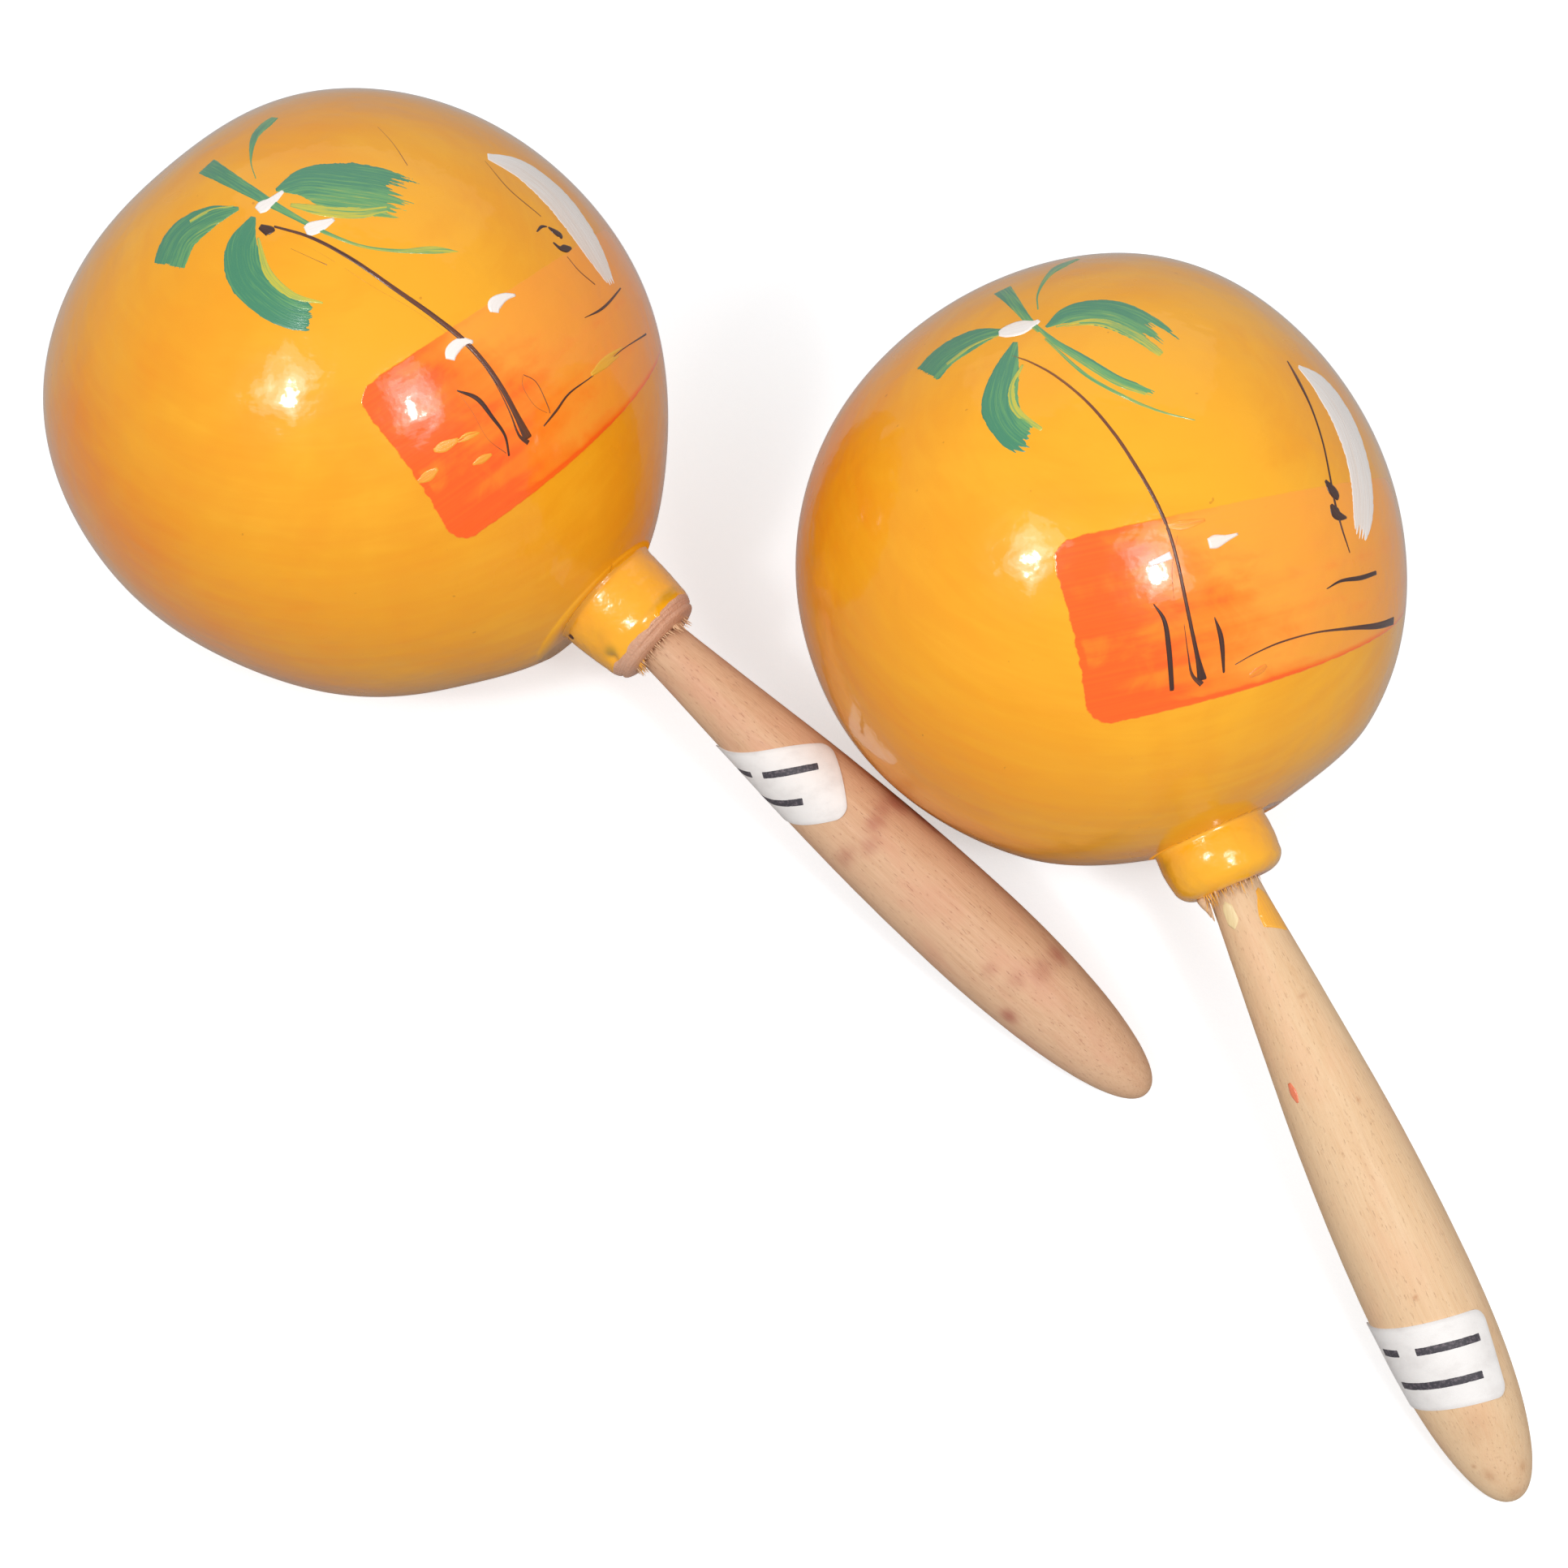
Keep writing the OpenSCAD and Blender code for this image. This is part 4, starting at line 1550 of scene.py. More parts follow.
@dataclass
class Label(Canvas):
    """A paper label glued round the handle, with plain printed bars.

    at_x is its middle from the collar in mm, turn its place round in degrees, and skew its
    turn from straight round. Bars are (across, down, length) in mm on the flat paper, and
    curl tells how strongly each corner has lifted.
    """

    handle: Handle
    at_x: float
    skew: float
    turn: float
    bars: tuple[tuple[float, float, float], ...]
    curl: tuple[float, float, float, float]
    width: float = 30.0
    height: float = 16.0
    corner: float = 2.5
    paper: float = 0.15
    gap: float = 0.08

    def at(self, x: Numbers, y: Numbers, lift: Numbers) -> Numbers:
        """Places of the flat paper's points, x across and y down, above the wood.

        Args:
            x: Millimetres across the flat paper from its middle.
            y: Millimetres down.
            lift: Millimetres off the wood.

        Returns:
            The places in metres.
        """
        c, s = math.cos(math.radians(self.skew)), math.sin(math.radians(self.skew))
        far = self.handle.collar_x + self.at_x + y * c + x * s
        middle_r = float(self.handle.radius(np.array(self.handle.collar_x + self.at_x)))
        turn = self.turn + np.degrees((x * c - y * s) / middle_r)
        return self.handle.round(far, turn, self.handle.radius(far) + lift + self.raised(x, y))

    def raised(self, x: Numbers, y: Numbers) -> Numbers:
        """How far each corner has lifted: the square of the way past a line near it.

        Args:
            x: Millimetres across the flat paper from its middle.
            y: Millimetres down.

        Returns:
            The extra lift in mm.
        """
        total = np.zeros(np.broadcast(x, y).shape)
        for (sx, sy), amount in zip(((-1, -1), (1, -1), (1, 1), (-1, 1)), self.curl):
            way = sx * x / (self.width / 2) + sy * y / (self.height / 2)
            total = total + amount * np.clip(way - 1.1, 0, None) ** 2
        return total

    def build(self, paper: Finish, ink: Finish) -> None:
        """Lays the paper and prints its bars.

        The paper's rows crowd towards both edges, and each row is as wide as the rounded
        corners leave it.

        Args:
            paper: Finish of the paper.
            ink: Finish of the bars.
        """
        down = self.height / 2 * np.sin(np.linspace(-np.pi / 2, np.pi / 2, 48))[:, None]
        past = np.maximum(0, np.abs(down) - self.height / 2 + self.corner)
        half = self.width / 2 - self.corner + np.sqrt(np.maximum(self.corner**2 - past**2, 0.0004))
        share = np.sin(np.linspace(-np.pi / 2, np.pi / 2, 90))[None, :]
        x = half * share
        y = np.broadcast_to(down, x.shape)
        inward = np.minimum(half - np.abs(x), self.height / 2 - np.abs(y))
        across, along = np.concatenate([x, x[:, ::-1]], axis=1), np.concatenate([y, y], axis=1)
        lift = np.concatenate([np.full_like(x, self.gap + self.paper), np.full_like(x, self.gap)], axis=1)
        sheet = np.stack([across, along, np.concatenate([inward, inward[:, ::-1]], axis=1)], axis=-1)
        side = self.handle.side.value
        skin = Skin.wrap(self.at(across, along, lift), {"sheet": sheet})
        skin.make(f"{side}_label_paper", paper, f"{side}_maraca", (f"{side}_label",))
        top = self.gap + self.paper
        bars = [
            Stroke((
                (a, d, 1.7), (a + n / 2, d, 1.75), (a + n, d, 1.7),
            ), layer=top, depth=0.02, under=-top + 0.03, seed=k + 1.0, ragged=0.05)
            for k, (a, d, n) in enumerate(self.bars)
        ]
        Skin.together([bar.skin(self) for bar in bars]).make(f"{side}_label_bars", ink, f"{side}_maraca")


@dataclass
class Maraca:
    """One maraca: gourd, collar, torn fibres, handle, label, brads and seeds."""

    side: Side
    gourd: Gourd
    collar: Collar
    handle: Handle
    label: Label
    fringes: tuple[Fringe, ...]
    spots: dict[Paint, tuple[Stroke, ...]]
    seeds: int = 12

    def build(self, looks: "Looks") -> None:
        """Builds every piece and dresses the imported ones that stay.

        Args:
            looks: The finishes.
        """
        name = self.side.value
        self.gourd.build(looks.gourd, looks.paints)
        self.collar.build(looks.collar)
        self.handle.build(looks.wood[self.side])
        self.label.build(looks.paper, looks.ink)
        end = self.collar.mouth_x + self.collar.length
        lie, offset = self.collar.lie, self.collar.offset
        fibres = [skin for fringe in self.fringes for skin in fringe.skins(lie, end, offset)]
        Skin.together(fibres).make(f"{name}_collar_fibres", looks.fibre, f"{name}_maraca")
        for paint, strokes in self.spots.items():
            films = Skin.together([stroke.skin(self.handle) for stroke in strokes])
            films.make(f"{name}_handle_{paint.value}", looks.spots[paint], f"{name}_maraca")
        self.dress(f"{name}_brads", looks.steel)
        for k in range(1, self.seeds + 1):
            self.dress(f"{name}_seed_{k}", looks.seed)

    def dress(self, node: str, finish: Finish) -> None:
        """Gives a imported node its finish.

        Args:
            node: The node's name.
            finish: Its finish.
        """
        mesh = frame["nodes"][node].data
        mesh.materials.clear()
        mesh.materials.append(finish.material())
        log.info("%s: packed piece in %s", node, finish.name)


@dataclass(frozen=True)
class Looks:
    """Every finish of the pair."""

    gourd: Finish = GourdLacquer("amber_gourd_lacquer", "painted_gourd")
    collar: Finish = CollarLacquer("pooled_collar_lacquer", "painted_collar")
    wood: dict[Side, Finish] = field(default_factory=lambda: {
        Side.LEFT: TurnedWood("tan_turned_wood", "left_handle_wood"),
        Side.RIGHT: TurnedWood(
            "cream_turned_wood", "right_handle_wood",
            pale=(0.77, 0.54, 0.33), dark=(0.70, 0.45, 0.25), warm=(0.77, 0.47, 0.28),
            stain=(0.46, 0.20, 0.09), pores=0.45,
        ),
    })
    paints: dict[Paint, Finish] = field(default_factory=lambda: {
        Paint.LEAF: BrushPaint("palm_leaf_enamel", "leaf_paint"),
        Paint.TRUNK: BrushPaint(
            "palm_trunk_enamel", "trunk_paint", dark=(0.050, 0.016, 0.010), middle=(0.15, 0.045, 0.018),
            light=(0.40, 0.15, 0.025), hair=0.3, gloss=0.25,
        ),
        Paint.WHITE: BrushPaint(
            "sail_white_enamel", "white_paint", dark=(0.78, 0.50, 0.36), middle=(0.86, 0.74, 0.66),
            light=(0.90, 0.84, 0.80), hair=0.22,
        ),
        Paint.SEA: BrushPaint(
            "spray_yellow_enamel", "sea_paint", dark=(0.88, 0.22, 0.02), middle=(0.86, 0.34, 0.02),
            light=(0.82, 0.43, 0.03), hair=0.5, gloss=0.3,
        ),
    })
    spots: dict[Paint, Finish] = field(default_factory=lambda: {
        Paint.SEA: BrushPaint(
            "spilt_yellow_enamel", "painted_collar", dark=(0.80, 0.20, 0.09), middle=(0.90, 0.42, 0.03),
            light=(0.93, 0.47, 0.03), hair=0.05,
        ),
        Paint.WHITE: BrushPaint(
            "spilt_pale_enamel", "white_paint", dark=(0.74, 0.52, 0.24), middle=(0.82, 0.64, 0.34),
            light=(0.86, 0.70, 0.38), hair=0.1, gloss=0.1,
        ),
    })
    paper: Finish = LabelPaper("white_label_paper", "label_paper")
    ink: Finish = PrintInk("grey_label_ink", "label_paper")
    fibre: Finish = TornFibre("torn_collar_fibre", "wood_fibre")
    steel: Finish = DullSteel("dull_brad_steel", "brad_steel")
    seed: Finish = SeedCoat("brown_seed_coat", "seed")


# ---- The two maracas ----

LEFT_LEAVES = seeded(
    1,
    Stroke((
        (-19.9, 44.3, 0.4), (-21.6, 49.8, 0.6), (-21.9, 57.7, 2.2), (-20.0, 62.4, 3.4), (-18.1, 65.4, 2.4),
    ), tone=0.35, dry=0.1),
    Stroke((
        (-32.7, 51.4, 5.2), (-25.1, 44.4, 3.6), (-17.8, 39.0, 2.4), (-12.1, 34.7, 1.5), (-6.5, 31.1, 1),
        (1.0, 27.4, 0.8), (7.5, 26.9, 1), (15.0, 28.5, 1.8), (19.0, 28.0, 0.3),
    ), tone=0.10, end_tone=0.75),
    Stroke((
        (-15.7, 41.0, 0.8), (-9.7, 42.5, 8.4), (-2.6, 41.4, 12.6), (4.5, 40.3, 12.4), (12.1, 38.2, 9.5),
        (18.0, 36.0, 6.0),
    ), tone=0.10, side_tone=-0.30, end_tone=0.40, dry_end=0.62),
    Stroke((
        (-12.6, 37.3, 1), (-6.1, 35.7, 2.6), (0.5, 35.2, 2.6), (6.0, 36.2, 1.5),
    ), tone=0.85, dry=0.30, layer=0.02),
    Stroke((
        (-22.8, 37.5, 1), (-29.5, 36.0, 6.5), (-35.1, 32.5, 8.8), (-37.4, 25.8, 8.2),
    ), tone=0.15, side_tone=0.25, dry_end=0.08),
    Stroke(((-23.9, 38.0, 0.8), (-29.0, 37.6, 1.6), (-33.6, 35.6, 1.6)), tone=0.75, dry=0.35, layer=0.02),
    Stroke((
        (-19.7, 35.3, 1.2), (-21.7, 29.1, 6.6), (-20.6, 23.0, 7.7), (-16.0, 17.9, 7), (-11.4, 15.3, 6.1),
        (-7.4, 14.8, 5.2),
    ), tone=0.06, side_tone=0.12, dry_end=0.10),
    Stroke((
        (-18.6, 30.6, 0.6), (-16.6, 23.4, 1.8), (-12.0, 18.8, 1.6), (-6.4, 17.3, 0.5),
    ), tone=0.9, dry=0.22, layer=0.02),
)
LEFT_LINES = seeded(
    1,
    Stroke(((-18.4, 32.9, 1.2), (-16.4, 31.7, 2.3), (-16.0, 31.2, 1)), tone=0.0, layer=0.03, depth=0.1),
    Stroke((
        (-15.6, 32.7, 0.6), (-8.5, 30.6, 0.75), (-1.0, 25.9, 0.85), (6.1, 19.8, 0.95), (13.5, 15.3, 1.05),
        (18.5, 11.3, 1.15), (22.9, 6.8, 1.1), (26.3, 1.9, 1.1), (28.8, -3.0, 1.3), (31.2, -7.3, 2.0),
    ), tone=0.30, layer=0.03, depth=0.1),
    Stroke((
        (31.3, -8.1, 1.1), (29.2, -6.5, 0.6), (27.3, -2.1, 0.4), (24.4, 3.4, 0.3), (20.9, 8.3, 0.2),
    ), tone=0.3, layer=0.03),
    Stroke((
        (17.0, 1.8, 0.35), (20.9, 0.3, 0.95), (23.8, -3.1, 0.8), (26.3, -6.5, 0.6), (27.2, -10.5, 0.5),
    ), tone=0.05, layer=0.03, depth=0.09),
    Stroke((
        (17.4, 1.3, 0.2), (19.9, -2.1, 0.2), (22.8, -7.0, 0.2), (26.7, -10.0, 0.3),
    ), tone=0.8, layer=0.02),
    Stroke(((-12.5, 28.0, 0.2), (-8.5, 25.9, 0.22), (-5.5, 24.4, 0.3)), tone=0.7, layer=0.02),
    Stroke((
        (-11.0, 29.5, 0.18), (-4.0, 24.9, 0.2), (2.6, 20.3, 0.2), (9.5, 16.3, 0.2), (16.0, 11.8, 0.2),
    ), tone=0.95, layer=0.01, dry=0.35),
    Stroke((
        (30.3, 4.9, 0.3), (33.2, 3.4, 0.3), (35.6, -1.0, 0.35), (36.1, -2.5, 0.35),
    ), tone=0.5, layer=0.02),
    Stroke((
        (30.3, 4.9, 0.2), (30.3, 2.4, 0.22), (32.7, -1.0, 0.22), (35.6, -2.5, 0.22),
    ), tone=0.6, layer=0.02),
    Stroke((
        (34.6, -5.0, 0.4), (37.6, -2.0, 0.6), (41.0, 1.5, 0.5), (47.4, 5.1, 0.35), (57.5, 11.2, 0.35),
        (69.7, 16.3, 0.6),
    ), tone=0.1, layer=0.03),
    Stroke(((46.5, 17.1, 0.25), (52.9, 20.2, 0.7), (61.1, 26.3, 0.5)), tone=0.1, layer=0.03),
    Stroke(((28.3, 52.7, 0.25), (32.7, 45.2, 0.4), (39.6, 39.5, 0.4)), tone=0.65, layer=0.02),
    Stroke(((44.3, 30.7, 0.35), (47.2, 27.7, 0.4), (51.5, 25.2, 0.45)), tone=0.5, layer=0.02),
    Stroke(((37.3, 35.1, 0.4), (39.0, 36.8, 0.8), (40.6, 37.2, 0.4)), tone=0.0, layer=0.03),
    Stroke((
        (40.8, 37.1, 0.6), (42.4, 36.3, 1.6), (43.7, 35.7, 1.7), (43.8, 34.8, 0.5),
    ), tone=0.0, layer=0.03, depth=0.1),
    Stroke((
        (41.2, 33.4, 0.6), (42.9, 32.3, 1.2), (44.5, 32.6, 2), (46.4, 33.2, 0.6),
    ), tone=0.0, layer=0.03, depth=0.1),
    Stroke(((5.0, 59.3, 0.25), (8.0, 53.7, 0.3), (10.6, 47.2, 0.35)), tone=0.75, layer=0.01),
)
LEFT_WHITES = seeded(
    1,
    Stroke((
        (-14.0, 40.8, 0.7), (-16.2, 38.5, 2), (-18.0, 37.3, 2.9), (-19.0, 36.5, 1.9),
    ), tone=0.95, layer=0.05, depth=0.12),
    Stroke((
        (-4.2, 33.8, 0.7), (-6.5, 32.6, 2.3), (-8.6, 31.8, 2.9), (-9.6, 31.4, 1.8),
    ), tone=0.95, layer=0.05, depth=0.12),
    Stroke((
        (29.9, 20.2, 0.5), (27.5, 19.6, 1.6), (25.3, 18.0, 2.7), (25.1, 16.4, 1.8),
    ), tone=0.95, layer=0.05, depth=0.12),
    Stroke((
        (20.5, 10.7, 0.6), (18.2, 10.5, 1.9), (16.4, 8.9, 2.4), (16.0, 7.3, 1.7),
    ), tone=0.95, layer=0.05, depth=0.12),
    Stroke((
        (29.4, 54.4, 2.4), (38.5, 52.9, 9), (45.8, 47.6, 11.5), (50.5, 40.7, 10.8), (54.2, 33.4, 8.2),
        (58.2, 24.3, 1.4),
    ), tone=0.80, side_tone=0.18, end_tone=-0.25, dry_end=0.12),
)
LEFT_SPRAY = seeded(
    1,
    Stroke(((12.5, -9.1, 0.8), (14.4, -8.4, 2.2), (17.4, -7.0, 0.9)), tone=0.5, dry=0.2),
    Stroke(((16.9, -7.6, 0.6), (18.9, -6.6, 1.6), (21.4, -5.8, 0.6)), tone=0.6, dry=0.3),
    Stroke(((9.5, -14.9, 0.7), (11.5, -13.7, 2.2), (13.4, -12.3, 0.8)), tone=0.5, dry=0.15),
    Stroke(((19.8, -11.9, 0.5), (21.8, -10.9, 1.7), (23.8, -9.9, 0.6)), tone=0.4, dry=0.25),
    Stroke(((46.9, 5.2, 1), (51.7, 8.2, 2.4), (58.0, 11.5, 1.2)), tone=0.95, dry=0.38, layer=0.02),
)
RIGHT_LEAVES = seeded(
    21,
    Stroke((
        (-12.0, 52.5, 0.5), (-12.6, 58.5, 0.7), (-11.0, 66.5, 1.8), (-8.5, 71.5, 3.4), (-4.5, 76.0, 1.4),
    ), tone=0.45, dry=0.1),
    Stroke((
        (-22.0, 64.0, 4.8), (-17.5, 56.0, 3.0), (-14.0, 50.0, 2.0), (-11.0, 46.0, 1.4),
    ), tone=0.15, end_tone=0.3),
    Stroke((
        (-11.5, 47.0, 1.0), (-7.5, 42.5, 1.6), (-2.0, 38.0, 2.2), (4.0, 33.5, 2.3), (10.0, 31.0, 2.0),
        (13.8, 29.0, 1.2),
    ), tone=0.45, side_tone=-0.3, dry_end=0.3, dry=0.12),
    Stroke((
        (-10.0, 44.0, 0.6), (-2.0, 35.0, 0.9), (5.5, 30.0, 0.8), (12.5, 27.0, 0.6), (22.5, 25.0, 0.25),
    ), tone=0.5, dry=0.1, dry_end=0.25),
    Stroke((
        (-10.0, 47.0, 0.8), (-4.8, 50.3, 6.0), (2.3, 50.0, 8.6), (8.3, 46.8, 8.4), (13.5, 42.2, 7.4),
        (19.5, 36.8, 4.6),
    ), tone=0.12, side_tone=-0.22, end_tone=0.40, dry_end=0.60),
    Stroke((
        (-8.0, 46.8, 0.6), (0.0, 47.6, 2.2), (6.5, 44.6, 2.4), (12.5, 39.5, 1.6),
    ), tone=0.85, dry=0.32, layer=0.02),
    Stroke((
        (-19.0, 47.5, 1.6), (-25.5, 46.5, 6.8), (-31.5, 43.5, 8.4), (-35.3, 38.8, 8.8),
    ), tone=0.15, side_tone=0.22, dry_end=0.08),
    Stroke(((-19.5, 46.5, 0.6), (-25.0, 44.5, 1.5), (-30.5, 40.5, 1.4)), tone=0.8, dry=0.35, layer=0.02),
    Stroke((
        (-15.8, 44.0, 1.2), (-17.0, 37.0, 5.6), (-17.6, 30.0, 7.6), (-15.6, 25.0, 6.8), (-12.4, 22.0, 6.0),
        (-9.6, 21.5, 4.0),
    ), tone=0.12, side_tone=0.25, dry_end=0.2),
    Stroke((
        (-13.8, 38.0, 0.6), (-15.5, 32.5, 1.6), (-14.0, 27.5, 1.8), (-9.3, 23.8, 0.8),
    ), tone=0.9, dry=0.26, layer=0.02),
)
RIGHT_LINES = seeded(
    21,
    Stroke((
        (-16.5, 40.5, 0.3), (-13.0, 39.0, 0.5), (-7.0, 35.0, 0.6), (-1.0, 29.0, 0.65), (4.0, 22.5, 0.7),
        (7.0, 17.0, 0.75), (10.5, 11.5, 0.75), (13.0, 6.0, 0.7), (14.5, 0.5, 0.7), (16.0, -6.0, 0.75),
        (17.5, -12.0, 0.8), (19.0, -17.5, 1.0), (20.0, -21.2, 1.9),
    ), tone=0.70, end_tone=-0.60, layer=0.03, depth=0.1),
    Stroke((
        (20.0, -22.0, 1.2), (18.0, -20.0, 0.65), (17.0, -16.0, 0.35), (16.0, -10.5, 0.2),
    ), tone=0.2, layer=0.03),
    Stroke((
        (10.5, -7.0, 0.3), (12.5, -10.0, 0.8), (13.5, -15.0, 1.0), (14.5, -23.0, 0.9),
    ), tone=0.05, layer=0.03, depth=0.1),
    Stroke(((21.5, -9.5, 0.3), (23.0, -13.5, 1.0), (24.0, -20.0, 0.5)), tone=0.05, layer=0.03, depth=0.1),
    Stroke((
        (26.0, -18.5, 0.3), (29.5, -16.5, 0.4), (35.0, -14.5, 0.5), (42.5, -13.0, 0.5), (53.0, -13.0, 0.9),
        (62.5, -14.0, 1.6), (69.5, -13.3, 2.0),
    ), tone=0.3, end_tone=-0.3, layer=0.03),
    Stroke((
        (45.0, -5.0, 0.3), (49.0, -3.5, 0.7), (55.0, -3.0, 1.1), (60.5, -2.0, 1.0),
    ), tone=0.05, layer=0.03, depth=0.1),
    Stroke((
        (41.0, 43.5, 0.5), (42.5, 39.0, 1.0), (45.0, 33.0, 0.7), (46.5, 25.0, 0.6), (47.0, 17.0, 0.6),
        (47.5, 12.5, 0.7), (49.0, 7.0, 0.6), (51.5, 2.0, 0.4),
    ), tone=0.15, layer=0.03),
    Stroke((
        (45.6, 16.4, 0.7), (47.0, 14.8, 2.2), (48.2, 13.6, 2.2), (48.6, 12.6, 0.6),
    ), tone=0.0, layer=0.04, depth=0.1),
    Stroke((
        (46.6, 11.6, 0.8), (47.6, 10.2, 2.6), (48.8, 9.4, 2.0), (51.0, 9.2, 0.5),
    ), tone=0.0, layer=0.04, depth=0.1),
    Stroke(((14.5, 5.0, 0.2), (13.6, -1.0, 0.25), (14.2, -7.0, 0.2)), tone=0.85, layer=0.02, dry=0.2),
)
RIGHT_WHITES = seeded(
    21,
    Stroke((
        (-19.8, 46.8, 1.4), (-18.0, 47.2, 3.6), (-15.0, 47.8, 4.2), (-12.6, 48.4, 2.0), (-11.4, 49.2, 0.8),
    ), tone=0.85, side_tone=-0.2, layer=0.05, depth=0.12),
    Stroke((
        (25.5, 5.2, 0.4), (23.4, 4.4, 1.2), (21.4, 3.8, 2.4), (20.0, 3.4, 1.8),
    ), tone=0.45, layer=0.05, depth=0.12),
    Stroke(((13.4, 1.4, 1.4), (11.6, 0.6, 1.2), (9.6, -0.2, 0.8)), tone=0.95, layer=0.05, depth=0.12),
    Stroke((
        (44.0, 43.0, 1.2), (51.0, 40.5, 8.4), (55.5, 33.5, 10.4), (57.5, 25.0, 9.8), (58.0, 16.5, 8.6),
        (56.5, 9.0, 6.8), (54.0, 2.0, 1.0),
    ), tone=0.85, side_tone=0.10, end_tone=-0.25, dry_end=0.18),
)
RIGHT_SPRAY = seeded(
    21,
    Stroke(((12.0, 6.4, 0.8), (15.5, 6.6, 2.0), (19.5, 7.6, 0.8)), tone=0.3, dry=0.35),
    Stroke(((29.0, -21.0, 1.0), (31.0, -20.0, 1.8), (32.6, -19.0, 1.0)), tone=0.1, dry=0.4),
)


def left_maraca() -> Maraca:
    """The left maraca, with a pear-shaped gourd, a long collar and a tan handle.

    Returns:
        The maraca.
    """
    offset, collar_len, belly_at, tip_len = LEFT_OFFSET, 15.8, 83.0, 49.8
    mouth_x = 63.211
    belly_x = mouth_x + collar_len + belly_at
    lie = Lie.of(Side.LEFT, belly_x - GRIP_BACK, offset)
    down = lie.own(np.array([0.0, 0.0, -1.0]))
    gourd = Gourd(
        Side.LEFT, lie, radius=61.0, pear=0.09, flat=0.03, offset=offset, mouth_r=12.7,
        face=(0.296, -0.340, 0.892), face_right=(0.691, 0.721, 0.045),
        sea=Sea((8.0, -13.3), 33.4, 17.4, 82.0),
        strokes={
            Paint.LEAF: LEFT_LEAVES, Paint.TRUNK: LEFT_LINES, Paint.WHITE: LEFT_WHITES, Paint.SEA: LEFT_SPRAY,
        },
        lumps=outline(
            22, (20, 0.97), (60, 0.22), (95, 0.06), (130, -2.15), (158, 0.03), (185, 1.25), (215, 0.12),
            (245, -1.53), (275, -0.09), (300, -1.03),
        ),
        # Painted shade near the edge of the painted face at its left, lower left and upper right, and painted
        # light above its middle at a negative height.
        deep=(
            Lump(200, 62, 0.55, 30), Lump(245, 70, 0.45, 24), Lump(30, 75, 0.3, 30), Lump(80, 20, -0.25, 40),
        ),
        quiet=((*down, 24.0),),
    )
    collar = Collar(
        Side.LEFT, lie, offset, mouth_x, base_r=12.2, end_r=10.3, length=collar_len, rim_r=7.4, bare_from=3.3,
        drips=(
            Drip(-5.6, 62, 0.4, 2.0, 14), Drip(-4.9, 15, 0.45, 1.4, 30), Drip(-4.8, -40, 0.35, 1.6, 24),
            Drip(-4.4, 72, -0.8, 1.0, 6),
        ),
        pools=(
            Drip(-5.2, 66, 0.8, 1.6, 10), Drip(-4.8, -30, 0.75, 1.8, 26), Drip(-4.8, 10, 0.4, 1.0, 22),
            Drip(-9.5, 58, 0.3, 4.0, 18),
        ),
    )
    handle = Handle(
        Side.LEFT, lie, offset, mouth_x + collar_len, 5.5, 10.6, belly_at, tip_len, mouth_x - TENON_IN,
        # The two strongest, 57 to 63 mm out on the side at -66 and -44 degrees, are painted shade where the
        # right gourd leans over this handle; the two long faint ones darken that side along most of its
        # length; the rest are staining.
        stains_and_shade=(
            StainAndShade(62.7, -66, 0.9, 7, 4), StainAndShade(56.7, -44, 0.75, 4, 4), StainAndShade(55.7, -16, 0.5, 2.6, 4),
            StainAndShade(56.7, 6, 0.55, 2.4, 3.5),
            StainAndShade(58.7, 28, 0.5, 2.4, 3.5), StainAndShade(56.7, 60, 0.5, 2.4, 4), StainAndShade(100.7, -31, 0.7, 3.2, 3),
            StainAndShade(100.2, -1, 0.5, 3, 4),
            StainAndShade(97.7, 28, 0.4, 2.6, 4), StainAndShade(92.7, 41, 0.45, 2, 2), StainAndShade(101.7, 70, 0.75, 2.4, 2.2),
            StainAndShade(26.7, -71, 0.35, 26, 4),
            StainAndShade(81.7, -68, 0.3, 20, 4), StainAndShade(8.7, 54, 0.15, 8, 5),
        ),
    )
    label = Label(
        handle, 36.4, -37.0, 70.0, ((-11.0, -3.0, 12.0), (3.6, -3.0, 5.2), (-7.0, 3.2, 13.5)),
        (0.25, 0.12, 0.2, 0.15),
    )
    fringes = (
        Fringe(30, 200, 60, 1.9, 6.0, 7.6, 0.34, 0.25, 0.0, 3.0),
        Fringe(-40, 60, 10, 2.6, 6.6, 7.8, 0.6, 0.5, 0.0, 5.0),
        Fringe(78, 30, 14, 2.4, 6.4, 7.6, 0.4, 0.5, 0.3, 9.0),
    )
    return Maraca(Side.LEFT, gourd, collar, handle, label, fringes, {})


